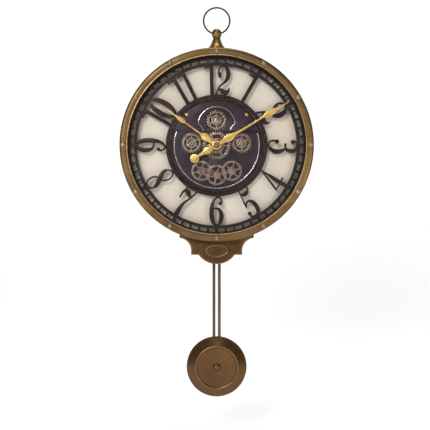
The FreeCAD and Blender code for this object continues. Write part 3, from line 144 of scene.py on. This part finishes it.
def aged_metal(name, dark, body, bright, roughness=(0.3, 0.5), patch=30, grain=0.6, relief=0.02,
               metallic=1.0, spread=0.24, turned_about=None, pitch=1.8):
    """Lacquered metal with a rubbed patina, sizes in mm.

    Broad patches run from dark to bright, a grain breaks them up, and the bright parts are the
    smoother ones. Real lacquer is finer than this grain, which is drawn coarse enough to show. A
    wider spread makes the patches fainter. turned_about = (x, z) adds lathe rings of that pitch.
    """
    material, tree, shader = blank_material(name)
    place = add(tree, "ShaderNodeTexCoord").outputs["Object"]
    clouds = add(tree, "ShaderNodeTexNoise", {"Vector": place}, Scale=1000 / patch, Detail=6.0,
                 Roughness=0.62).outputs["Fac"]
    speck = add(tree, "ShaderNodeTexNoise", {"Vector": place}, Scale=1000 / grain, Detail=2.0,
                Roughness=0.6).outputs["Fac"]
    mixed = add(tree, "ShaderNodeMath", {0: clouds, 1: speck}, operation="MULTIPLY").outputs[0]
    factor = add(tree, "ShaderNodeMapRange", {"Value": mixed}, From_Min=PATINA_MEAN - spread / 2,
                 From_Max=PATINA_MEAN + spread / 2).outputs[0]
    colour = ramp(tree, factor, [(0.0, dark), (0.5, body), (1.0, bright)])
    tree.links.new(shader.inputs["Base Color"], colour)
    smooth, rough = roughness
    sheen = add(tree, "ShaderNodeMapRange", {"Value": factor}, To_Min=rough, To_Max=smooth).outputs[0]
    tree.links.new(shader.inputs["Roughness"], sheen)
    height = speck
    if turned_about is not None:
        x, z = turned_about
        centred = add(tree, "ShaderNodeMapping", {"Vector": place},
                      Location=(-x * MM, 0, -z * MM)).outputs[0]
        rings = add(tree, "ShaderNodeTexWave", {"Vector": centred}, wave_type="RINGS",
                    rings_direction="Y", Scale=2 * math.pi / WAVE_RADIANS / (pitch * MM),
                    Distortion=0.1, Detail=2.0).outputs["Fac"]
        height = add(tree, "ShaderNodeMath", {0: rings, 1: speck}, operation="ADD").outputs[0]
    bump = add(tree, "ShaderNodeBump", {"Height": height}, Strength=1.0, Distance=relief * MM)
    tree.links.new(shader.inputs["Normal"], bump.outputs[0])
    shader.inputs["Metallic"].default_value = metallic
    return material


def painted(name, body, shade, roughness=0.5, patch=60, grain=0.8, relief=0.03, coat=0.0):
    """Paint, plastic or rubber, sizes in mm: a body colour that drifts to a shade, with fine pits."""
    material, tree, shader = blank_material(name)
    place = add(tree, "ShaderNodeTexCoord").outputs["Object"]
    clouds = add(tree, "ShaderNodeTexNoise", {"Vector": place}, Scale=1000 / patch, Detail=5.0,
                 Roughness=0.6).outputs["Fac"]
    factor = add(tree, "ShaderNodeMapRange", {"Value": clouds}, From_Min=CLOUD_RANGE[0],
                 From_Max=CLOUD_RANGE[1]).outputs[0]
    tree.links.new(shader.inputs["Base Color"], ramp(tree, factor, [(0.0, body), (1.0, shade)]))
    rough = add(tree, "ShaderNodeMapRange", {"Value": factor}, To_Min=roughness,
                To_Max=roughness + 0.12).outputs[0]
    tree.links.new(shader.inputs["Roughness"], rough)
    pits = add(tree, "ShaderNodeTexNoise", {"Vector": place}, Scale=1000 / grain,
               Detail=3.0).outputs["Fac"]
    bump = add(tree, "ShaderNodeBump", {"Height": pits}, Strength=1.0, Distance=relief * MM)
    tree.links.new(shader.inputs["Normal"], bump.outputs[0])
    shader.inputs["Coat Weight"].default_value = coat
    return material


def window_glass(name):
    """Float glass pane: light goes straight through and its surface reflects more at a slant."""
    material, tree, shader = blank_material(name)
    tree.nodes.remove(shader)
    clear = add(tree, "ShaderNodeBsdfTransparent", Color=linear("fdfcfb")).outputs[0]
    sheen = add(tree, "ShaderNodeBsdfGlossy", Color=linear("ffffff"), Roughness=0.03).outputs[0]
    share = add(tree, "ShaderNodeFresnel", IOR=1.28).outputs[0]
    pane = add(tree, "ShaderNodeMixShader", {0: share, 1: clear, 2: sheen}).outputs[0]
    tree.links.new(tree.nodes["Material Output"].inputs["Surface"], pane)
    return material


FINISH = {
    # Brushed brass under brown lacquer: a soft sheen, faintly blotched where hands have rubbed it.
    "bezel_brass": aged_metal(
        "antique_brass_brushed", "4c3926", "6e583b", "8f7850",
        roughness=(0.3, 0.44), patch=34, grain=0.5, spread=0.4),
    # Nickel over brass on smooth round heads: paler and greyer than the bezel, softly glossy.
    "rivet_nickel": aged_metal(
        "nickel_brass_rivet", "6b5d49", "93836b", "b9a98c",
        roughness=(0.34, 0.42), patch=20, grain=0.5, relief=0.004),
    # Bronze enamel on sheet steel: almost black, with a dull warm sheen.
    "drum_bronze": aged_metal(
        "bronze_enamel", "241a17", "3e2f27", "57432f",
        roughness=(0.4, 0.55), patch=40, metallic=0.7),
    # Sprayed enamel: plain black, a little uneven.
    "cover_black": painted(
        "black_enamel_sheet", "262221", "1a1716", roughness=0.42, patch=50, grain=0.6, relief=0.02),
    # Moulded plastic with a spark-eroded texture: flat black.
    "door_plastic": painted(
        "moulded_abs_black", "242323", "1b1b1b", roughness=0.55, patch=25, grain=0.5, relief=0.04),
    # Zinc plate: bright grey with small cloudy patches.
    "screw_steel": aged_metal(
        "zinc_plated_steel", "7d7c78", "a5a39d", "c9c7c0",
        roughness=(0.25, 0.4), patch=5, grain=0.4),
    # Nitrile rubber: matt, nearly black.
    "gasket_rubber": painted(
        "nitrile_rubber", "1c1a1a", "262424", roughness=0.7, patch=10, grain=0.5),
    # Cream enamel, slightly yellowed and quite matt.
    "dial_cream": painted(
        "aged_cream_enamel", "f8f1e8", "efe6d6", roughness=0.55, patch=70, grain=1.2, relief=0.012),
    # Dark bronze lacquer on stamped sheet: black-brown with dim warm patches.
    "track_bronze": aged_metal(
        "dark_bronze_lacquer", "18100f", "251b1b", "41312b",
        roughness=(0.3, 0.45), patch=14, grain=0.5, metallic=0.75),
    # Chemically blackened brass: dark and faintly purple.
    "chamber_dark": aged_metal(
        "blackened_brass", "1c121a", "281d25", "3e2f34",
        roughness=(0.36, 0.5), grain=0.5, metallic=0.6),
    # The same blackening on rolled plate: a shade more purple.
    "bridge_dark": aged_metal(
        "blackened_plate", "1c121b", "291c2a", "3b2a36",
        roughness=(0.38, 0.5), patch=24, grain=0.5, metallic=0.5),
    # Polished nickel: the bright thin line round each bridge.
    "trim_silver": aged_metal(
        "polished_nickel_edge", "8f8a86", "c2beb8", "ece8e2",
        roughness=(0.15, 0.28), patch=8, grain=0.4),
    # Cast pewter: dull warm grey, lighter on its high spots.
    "gear_pewter": aged_metal(
        "pewter_worn", "5c4d44", "7d6e62", "a89a8c",
        roughness=(0.32, 0.46), patch=6, grain=0.5),
    # Brass as cut: clean yellow, softly glossy.
    "gear_brass": aged_metal(
        "cut_brass", "7a6238", "a98c50", "cdb06c",
        roughness=(0.25, 0.4), patch=10, grain=0.5),
    # Turned steel: mid grey, fairly bright.
    "arbor_steel": aged_metal(
        "turned_steel", "77736d", "a09b93", "c8c3ba",
        roughness=(0.2, 0.34), patch=6, grain=0.4),
    # Gold plate on stamped brass, satin rather than mirror bright.
    "hand_gold": aged_metal(
        "satin_gold_plate", "9c8048", "c4a45a", "dcc384",
        roughness=(0.32, 0.46), patch=9, grain=0.5, metallic=0.85),
    # Brass turned on a lathe: yellow and glossy.
    "cap_brass": aged_metal(
        "turned_brass", "8a6f3a", "c0a054", "e2c982",
        roughness=(0.22, 0.38), patch=6, grain=0.5),
    # Moulded plastic: dark grey, flat.
    "movement_plastic": painted(
        "moulded_abs_case", "232224", "2c2b2d", patch=20, grain=0.5, relief=0.04),
    # Shrunk film on the cell: dark green under a thin gloss.
    "cell_jacket": painted(
        "cell_jacket_film", "3d5a3a", "2f4a2e", roughness=0.3, patch=30, relief=0.01, coat=0.3),
    # Enamelled copper wire: reddish and glossy.
    "coil_copper": aged_metal(
        "enamelled_copper_wire", "6e3c22", "a4603a", "cf8a5a",
        roughness=(0.25, 0.4), patch=4, grain=0.3),
    # Plated steel can: mid grey.
    "motor_steel": aged_metal(
        "plated_steel_can", "605e5c", "84827f", "a8a6a2",
        roughness=(0.25, 0.4), patch=12, grain=0.4),
    # Nickel plate: bright, neutral grey.
    "magnet_nickel": aged_metal(
        "nickel_plate", "8a8a88", "b0b0ae", "d4d4d2",
        roughness=(0.15, 0.3), patch=5, grain=0.4),
    # Thick bronze lacquer on drawn rod: brown and dull, more paint than metal.
    "rod_bronze": aged_metal(
        "rod_bronze_lacquer", "3a2d28", "54453d", "6b5a50",
        roughness=(0.5, 0.62), patch=40, grain=0.5, metallic=0.2, spread=0.4),
    # Cast brass with its patina rubbed off the round parts.
    "finial_bronze": aged_metal(
        "cast_antique_brass", "4a3826", "85693f", "b8955c",
        roughness=(0.25, 0.4), patch=14, grain=0.5, spread=0.4),
    # Bronzed wire: nearly black, dull.
    "bow_bronze": aged_metal(
        "bow_wire_bronze", "1c1512", "2d241e", "43382e",
        roughness=(0.5, 0.6), patch=8, grain=0.4, metallic=0.2),
    # Spun ring under dark lacquer: an even black-brown with a soft sheen.
    "chamber_ring_bronze": aged_metal(
        "chamber_ring_bronze", "1f1719", "291d21", "382a2c",
        roughness=(0.32, 0.42), grain=0.5, relief=0.01, metallic=0.75, spread=0.7),
    # Painted highlight: lighter brown bands on the ring's outer edge, bead and step, where they catch
    # the light.
    "bronze_steps_painted_highlight": aged_metal(
        "bronze_steps_painted_highlight", "4a382f", "7d6656", "a68f78",
        roughness=(0.26, 0.38), patch=8, grain=0.4),
    # Painted highlight: a bright yellow-brass band on the bezel's inner bead, where the lip catches
    # the light.
    "brass_lip_painted_highlight": aged_metal(
        "brass_lip_painted_highlight", "927650", "bf9f6c", "e0c68f",
        roughness=(0.22, 0.34), patch=8, grain=0.4),
    # Bronze a little lighter on the apron's outline and on the bob's bead: partly rubbed wear, partly
    # painted highlight where the edges catch the light.
    "bronze_edge_wear_and_highlight": aged_metal(
        "bronze_edge_wear_and_highlight", "5e472f", "7d6140", "9c7c54",
        roughness=(0.3, 0.42), patch=10, grain=0.4),
    # Gold plate lighter along the hands' arrises and forward slopes: partly burnished plate, partly
    # painted highlight.
    "gold_edge_burnish_and_highlight": aged_metal(
        "gold_edge_burnish_and_highlight", "c2a560", "e6cf88", "f8ecb8",
        roughness=(0.2, 0.3), patch=8, grain=0.4, metallic=0.85),
    # Pewter lighter on the tips and rims of the wheels: partly rubbed wear, partly painted highlight.
    "bright_pewter_edge": aged_metal(
        "bright_pewter_edge", "9a8d80", "cbbfb0", "efe6da",
        roughness=(0.18, 0.3), patch=6, grain=0.4),
    # Pressed bronze: warm brown with broad, uneven patina.
    "apron_bronze": aged_metal(
        "pressed_antique_bronze", "35271c", "573f29", "7a5d3a",
        roughness=(0.34, 0.46), patch=26, grain=0.5, spread=0.42),
    # The medallion's pressed bronze: slightly redder than the apron.
    "medallion_bronze": aged_metal(
        "medallion_bronze", "3d2b1f", "503a29", "6e5435",
        roughness=(0.34, 0.45), patch=12, grain=0.5, spread=0.4),
    # Bronze spun on a lathe: rings about the bob's middle, which stretch its highlights. The tool
    # leaves marks a few tenths of a millimetre apart; they are drawn wider so that they show.
    "bob_bronze": aged_metal(
        "spun_bronze", "42302a", "664c33", "82633f",
        roughness=(0.28, 0.4), patch=60, grain=0.5, spread=0.6,
        turned_about=front_middle("bob_front_shell")),
    # Clear pane: only its reflections show.
    "clear_glass": window_glass("float_glass"),
}


def dress(thing, finish):
    """Give an object one finish."""
    thing.data.materials.clear()
    thing.data.materials.append(FINISH[finish])


# ---------------------------------------------------------------------------------------------
# Surfaces
# ---------------------------------------------------------------------------------------------
SMOOTH_TURNED = math.radians(35)    # edges of turned pieces that are sharper than this stay crisp
SMOOTH_COPY = math.radians(32)      # the same for the copies of CAD nodes
BEVEL_FROM = math.radians(38)       # edges of the copies sharper than this are broken
EDGE_SLOPE = (0.35, 0.93)           # slopes painted lighter face this far forward, from 0 sideways to 1 ahead


def piece(name, points, faces, finish, body, stands_for=()):
    """Make a closed mesh of metres, merge doubles, face it outwards, and fit it to a CAD body."""
    mesh = bpy.data.meshes.new(name)
    mesh.from_pydata(np.asarray(points, float).reshape(-1, 3).tolist(), [], np.asarray(faces).tolist())
    tidy = bmesh.new()
    tidy.from_mesh(mesh)
    bmesh.ops.remove_doubles(tidy, verts=tidy.verts, dist=1e-6)
    bmesh.ops.dissolve_degenerate(tidy, edges=tidy.edges, dist=1e-7)
    bmesh.ops.recalc_face_normals(tidy, faces=tidy.faces)
    tidy.to_mesh(mesh)
    tidy.free()
    mesh.shade_smooth()
    mesh.set_sharp_from_angle(angle=SMOOTH_TURNED)
    thing = bpy.data.objects.new(name, mesh)
    bpy.context.scene.collection.objects.link(thing)
    dress(thing, finish)
    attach(thing, body)
    for node in stands_for:
        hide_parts(node)
    return thing


def eased(profile, radii, steps=4):
    """Round each corner of a closed (radius, depth) profile with an arc of its own radius.

    The arc touches both sides; a support point on each side keeps the flats flat when smoothed.
    """
    nearly_straight = math.radians(86)      # half angles above this need no arc
    arc_share, support_share = 0.45, 0.49   # most of the shorter side that each may take
    support_lead = 1.3                      # the support point's distance over the arc's
    profile = np.asarray(profile, float)
    rounded = []
    for index, corner in enumerate(profile):
        before = profile[index - 1] - corner
        after = profile[(index + 1) % len(profile)] - corner
        length = min(np.linalg.norm(before), np.linalg.norm(after))
        before, after = before / np.linalg.norm(before), after / np.linalg.norm(after)
        half = math.acos(float(np.clip(before @ after, -1, 1))) / 2
        radius = radii[index]
        if radius <= 0 or half > nearly_straight:
            rounded.append(corner)
            continue
        reach = min(radius / math.tan(half), arc_share * length)
        radius = reach * math.tan(half)
        middle = corner + (before + after) / np.linalg.norm(before + after) * radius / math.sin(half)
        start, end = corner + before * reach, corner + after * reach
        first, last = (math.atan2(*(point - middle)[::-1]) for point in (start, end))
        turn = (last - first + math.pi) % (2 * math.pi) - math.pi
        angles = first + turn * np.linspace(0, 1, steps + 1)
        arc = middle + radius * np.stack([np.cos(angles), np.sin(angles)], 1)
        support = min(reach * support_lead, support_share * length)
        rounded += [corner + before * support, *arc, corner + after * support]
    return np.array(rounded)


def grid_faces(rows, columns, rows_close=True):
    """Quads of a rows by columns grid whose columns join up, and whose rows may."""
    last = rows if rows_close else rows - 1
    row, column = np.meshgrid(np.arange(last), np.arange(columns), indexing="ij")
    down, across = (row + 1) % rows, (column + 1) % columns
    quads = np.stack([row * columns + column, row * columns + across,
                      down * columns + across, down * columns + column], 2)
    return quads.reshape(-1, 4)


def turned(profile, turns, centre=(0, 0)):
    """Points of a (radius, depth) profile turned about the front-to-back axis through centre (x, z).

    Point (r, d) at angle t is (x + r sin t, -d, z + r cos t), as an array of profile by turns.
    """
    angles = np.linspace(0, 2 * np.pi, turns, endpoint=False)
    radius, depth = profile[:, :1], profile[:, 1:]
    return np.stack([centre[0] + radius * np.sin(angles), -depth + 0 * angles,
                     centre[1] + radius * np.cos(angles)], 2)


def lathe(name, profile, finish, body, stands_for, turns, edge, bands, centre=(0, 0)):
    """Ring turned from a closed profile, sizes in mm.

    Faces in front of the profile's middle depth whose radius falls in one of the bands take the
    edge finish, a band painted lighter as a painted highlight.
    """
    thing = piece(name, turned(profile, turns, centre) * MM, grid_faces(len(profile), turns), finish,
                  body, stands_for)
    thing.data.materials.append(FINISH[edge])
    middle = -profile[:, 1].mean() * MM
    for face in thing.data.polygons:
        reach = math.hypot(face.center.x - centre[0] * MM, face.center.z - centre[1] * MM) / MM
        if face.center.y < middle and any(low < reach < high for low, high in bands):
            face.material_index = 1
    return thing


def softened(node, finish, width=0.15, edge=None, rim=None):
    """Copy of a CAD node with smooth shading and its sharp edges broken by a bevel (width in mm).

    With an edge finish, the bevels, the slopes and all in front of depth rim (mm) take it: a lighter
    finish that is partly rubbed wear and partly painted highlight on the arrises.
    """
    source = NODES[node]
    mesh = source.data.copy()
    mesh.transform(source.matrix_world)
    mesh.materials.clear()
    for name in (finish, edge) if edge else (finish,):
        mesh.materials.append(FINISH[name])
    tidy = bmesh.new()
    tidy.from_mesh(mesh)
    bmesh.ops.remove_doubles(tidy, verts=tidy.verts, dist=2e-6)
    bmesh.ops.dissolve_limit(tidy, angle_limit=math.radians(1), verts=tidy.verts, edges=tidy.edges)
    if width:
        sharp = [line for line in tidy.edges
                 if len(line.link_faces) == 2 and line.calc_face_angle() > BEVEL_FROM]
        bmesh.ops.bevel(tidy, geom=sharp, offset=width * MM, segments=2, profile=0.6,
                        affect="EDGES", clamp_overlap=True, material=1 if edge else -1,
                        loop_slide=True)
    if edge:
        for face in tidy.faces:
            on_rim = rim is not None and -face.calc_center_median().y > rim * MM
            if on_rim or EDGE_SLOPE[0] < -face.normal.y < EDGE_SLOPE[1]:
                face.material_index = 1
    tidy.to_mesh(mesh)
    tidy.free()
    mesh.shade_smooth()
    mesh.set_sharp_from_angle(angle=SMOOTH_COPY)
    thing = bpy.data.objects.new(f"{node}_eased", mesh)
    bpy.context.scene.collection.objects.link(thing)
    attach(thing, source["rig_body"])
    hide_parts(node)
    return thing


# ---------------------------------------------------------------------------------------------
# Case
# ---------------------------------------------------------------------------------------------
def make_case():
    """Bezel channel with its crowned face and inner bead, and the ring of rivet heads."""
    low, high = mm_box("front_bezel")
    outer, rear, face = high[0], -high[1], -low[1] - 0.2
    glass = -mm_box("front_glass")[0][1]
    lip, crest = 137.4, 144.6                       # radii of the opening and of the crown
    rebate, seat, skin = 141.5, 143.2, 144.4        # radii inside, behind the glass
    step, wall = 50, 1.8                            # depth of the seat's front, sheet thickness
    bezel = [
        (outer, rear), (outer, face - 3.2), (outer - 0.9, face - 1.6), (outer - 2.6, face - 0.5),
        (crest, face), (lip + 3.4, face - 0.3), (lip + 2.2, face - 0.9), (lip + 1.5, face + 0.1),
        (lip + 0.6, face + 0.1), (lip, face - 0.9), (lip, glass), (rebate, glass), (rebate, step),
        (seat, step), (seat, rear + 1), (skin, rear + 1), (skin, face - 1.9),
        (outer - wall, face - 2.6), (outer - wall, rear)]
    ease = [0.4, 1.2, 1.2, 1.6, 3, 1.2, 0.4, 0.4, 0.4, 0.5] + [0.2] * 6 + [0.3, 0.4, 0.3]
    # The band on the inner bead is a painted highlight: lighter brass where the lip catches the light.
    lathe("bezel_ring", eased(bezel, ease), "bezel_brass", "case", ["front_bezel"], turns=384,
          edge="brass_lip_painted_highlight", bands=[(lip + 0.05, lip + 2)])
    make_rivet_heads(face)


def make_rivet_heads(face):
    """Twelve domes on the bezel's face, joined in one mesh.

    Each is a short cylinder under a quarter ellipse, turned about its own middle.
    """
    count, ring, radius, height, skirt, turns = 12, 144.3, 3.8, 2.9, 0.3, 32
    climb = np.linspace(0, np.pi / 2, 9)
    foot = [(0, face - 0.2), (radius + 0.15, face - 0.2), (radius + 0.15, face + 0.25)]
    dome = np.stack([radius * np.cos(climb), face + skirt + (height - skirt) * np.sin(climb)], 1)
    profile = np.concatenate([foot, dome])
    head = turned(profile, turns).reshape(-1, 3)
    around = np.arange(count) * 2 * np.pi / count
    middles = np.stack([ring * np.sin(around), 0 * around, ring * np.cos(around)], 1)
    points = head[None] + middles[:, None]
    faces = grid_faces(len(profile), turns, rows_close=False)
    quads = faces[None] + (np.arange(count) * len(head))[:, None, None]
    piece("rivet_heads", points * MM, quads.reshape(-1, 4), "rivet_nickel", "case", ["bezel_rivets"])


def make_chamber_ring():
    """Turned ring round the gear chamber: outer land, bead, groove and inner step."""
    low, high = mm_box("chamber_ring")
    outer, rear, front = high[0], -high[1], -low[1]
    plate = -mm_box("chamber_plate")[1][1]
    bore, step = outer - 11, outer - 6.9
    profile = [
        (bore, rear), (outer, rear), (outer, front - 1), (outer - 0.9, front - 0.05),
        (outer - 3.2, front - 0.05), (outer - 3.9, front - 0.9), (outer - 4.4, front - 0.9),
        (outer - 4.9, front - 0.2), (outer - 5.6, front - 0.6), (outer - 6.1, front - 1.9),
        (step, front - 2.2), (step, plate), (bore, plate)]
    ease = [0, 0.3, 0.9, 0.6, 0.4, 0.25, 0.25, 0.4, 0.4, 0.5, 0.4, 0.2, 0]
    # The bands on the outer edge, the bead and the step are painted highlight lines.
    lathe("chamber_ring_turned", eased(profile, ease), "chamber_ring_bronze", "case",
          ["chamber_ring"], turns=320, edge="bronze_steps_painted_highlight",
          bands=[(outer - 0.8, outer - 0.05), (outer - 4.1, outer - 3.2), (step, outer - 6)])


# ---------------------------------------------------------------------------------------------
# Pendulum
# ---------------------------------------------------------------------------------------------
def make_bob():
    """Spun dish of the pendulum bob: rolled rim, sloping flange, bead and a gently hollow centre.

    The centre is a parabola in the radius, deepest at the knob's seat.
    """
    low, high = mm_box("bob_front_shell")
    radius, rear, front = (high[0] - low[0]) / 2, -high[1], -low[1]
    bead, seat, hole = radius - 14.8, 10, 2
    edge_drop, hollow_drop, gauge = 1.7, 1.5, 1.1
    floor = front - edge_drop - hollow_drop
    across = np.linspace(bead - 3, seat, 12)
    hollow = front - edge_drop - hollow_drop * (1 - ((across - seat) / (bead - 3 - seat)) ** 2)
    profile = [
        (radius - 1.2, rear), (radius, rear), (radius, rear + 5.8), (radius - 0.9, rear + 6.8),
        (bead + 2.6, front - 1.6), (bead + 1.6, front - 0.4), (bead, front), (bead - 1.4, front - 0.5),
        (bead - 2.1, front - edge_drop), *zip(across, hollow), (hole, floor), (hole, floor - gauge),
        (seat, floor - gauge), (bead - 3, front - 3.1), (bead + 1, front - 2.4),
        (radius - 1.4, rear + 5.2)]
    ease = [0.2, 0.3, 0.9, 0.8, 1.2, 0.8, 1.2, 0.5, 0.5] + [0] * len(across) + [0.2, 0.2, 0, 0, 0, 0.2]
    # The band on the bob's bead is a painted highlight.
    lathe("bob_dish", eased(profile, ease), "bob_bronze", "pendulum", ["bob_front_shell"], turns=320,
          edge="bronze_edge_wear_and_highlight", bands=[(bead + 0.6, bead + 1.1)],
          centre=front_middle("bob_front_shell"))


# ---------------------------------------------------------------------------------------------
# Pieces that keep their CAD outline
# ---------------------------------------------------------------------------------------------
def make_softened():
    """Dress every CAD node, and copy with broken edges those that have no turned piece, but the rear
    cover and the glass.
    """
    left_as_cad = {"rear_cover", "front_glass"}
    turned_anew = {"front_bezel", "bezel_rivets", "chamber_ring", "bob_front_shell"}
    # The hands' edge finish is partly burnished plate, partly painted highlight.
    gold = {"finish": "hand_gold", "width": 0.3, "edge": "gold_edge_burnish_and_highlight"}
    # The wheels' edge finish is partly rubbed wear, partly painted highlight.
    pewter = {"finish": "gear_pewter", "width": 0.14, "edge": "bright_pewter_edge"}
    special = {
        "numerals": {"finish": "track_bronze", "width": 0.3},
        "minute_track": {"finish": "track_bronze", "width": 0.3},
        "minute_hand": gold,
        "hour_hand": gold,
        "hand_cap_nut": {"finish": "hand_gold", "width": 0.25},
        # The apron's bevels and slopes and the medallion's raised front take a lighter edge finish:
        # partly rubbed wear, partly painted highlight.
        "apron": {"finish": "apron_bronze", "width": 0.35, "edge": "bronze_edge_wear_and_highlight"},
        "oval_medallion": {"finish": "medallion_bronze", "width": 0.3, "edge": "bronze_edge_wear_and_highlight",
                           "rim": 41.2},
        "chamber_bridges": {"finish": "bridge_dark", "width": 0.2},
        "bridge_edge_trims": {"finish": "trim_silver", "width": 0.2},
        "finial": {"finish": "finial_bronze", "width": 0.3},
        "bow_ring": {"finish": "bow_bronze", "width": 0},
        "bob_knob": {"finish": "bob_bronze", "width": 0.2},
    }
    for place in ("centre", "top", "left", "right", "lower_left", "lower_middle", "lower_right"):
        special[f"{place}_gear"] = pewter
    slots = {entry["node"]: entry["material_slot"] for entry in frame["record"]["subparts"]}
    for name, thing in NODES.items():
        dress(thing, slots[name])
        if name not in left_as_cad | turned_anew:
            softened(name, **special.get(name, {"finish": slots[name]}))


# ---------------------------------------------------------------------------------------------
# Scene
# ---------------------------------------------------------------------------------------------
def make_floor():
    """Pale paper sweep, faintly lit from within: flat floor, quarter-circle bend, upright back."""
    floor_gap = 0.07
    height = CAD_BOX[0][2] - floor_gap
    front, bend_start, back, top, half_width, radius = -4.0, 1.2, 1.8, 4.0, 5, 0.6
    climb = np.linspace(0, np.pi / 2, 13)
    bend = np.stack([bend_start + radius * np.sin(climb), radius - radius * np.cos(climb)], 1)
    line = np.concatenate([[(front, 0)], bend, [(back, top)]])
    points = [(x, y, height + z) for x in (-half_width, half_width) for y, z in line]
    count = len(line)
    mesh = bpy.data.meshes.new("floor")
    mesh.from_pydata(points, [], [(i, i + 1, count + i + 1, count + i) for i in range(count - 1)])
    mesh.shade_smooth()
    floor = bpy.data.objects.new("floor", mesh)
    bpy.context.scene.collection.objects.link(floor)
    material, _, shader = blank_material("pale_paper")
    shader.inputs["Base Color"].default_value = linear("f8f8f8")
    shader.inputs["Roughness"].default_value = 0.9
    shader.inputs["Emission Color"].default_value = (1, 1, 1, 1)
    shader.inputs["Emission Strength"].default_value = 0.36
    floor.data.materials.append(material)


def make_light():
    """Even daylight, a key from the upper left and broad fills kept out of the pane's reflection."""
    world = bpy.data.worlds.new("soft_daylight")
    bpy.context.scene.world = world
    world.use_nodes = True
    background = world.node_tree.nodes["Background"]
    background.inputs["Color"].default_value = (1, 1, 1, 1)
    background.inputs["Strength"].default_value = 0.28

    aim = Vector((0, -0.04, -0.02))
    for name, place, size, power, colour in (
            ("key_light", (-0.64, -2.1, 0.66), 0.5, 18, (1.0, 0.97, 0.94)),
            ("right_fill", (1.1, -2.0, -0.2), 1.2, 11, (1.0, 0.97, 0.95)),
            ("left_fill", (-1.2, -2.0, -0.6), 1.2, 8, (1.0, 0.97, 0.95)),
            ("top_light", (0.0, -0.3, 1.5), 0.8, 8, (1.0, 0.98, 0.95))):
        lamp = bpy.data.lights.new(name, "AREA")
        lamp.size, lamp.energy, lamp.color = size, power, colour
        holder = bpy.data.objects.new(name, lamp)
        holder.location = place
        holder.rotation_euler = (aim - Vector(place)).to_track_quat("-Z", "Y").to_euler()
        bpy.context.scene.collection.objects.link(holder)


def make_camera():
    """Level camera in front of the clock, a hand's breadth below the dial's middle."""
    scene = bpy.context.scene
    distance, frame_width, sideways, height = 1.3, 0.6598, -0.0026, -0.1085
    lens = bpy.data.cameras.new("camera")
    lens.sensor_width = 36
    lens.lens = lens.sensor_width * distance / frame_width
    camera = bpy.data.objects.new("camera", lens)
    camera.location = (sideways, CAD_BOX[0][1] - distance, height)
    camera.rotation_euler = (math.pi / 2, 0, 0)
    scene.collection.objects.link(camera)
    scene.camera = camera
    scene.view_settings.view_transform = "Standard"


make_softened()
make_case()
make_chamber_ring()
make_bob()
make_floor()
make_light()
make_camera()
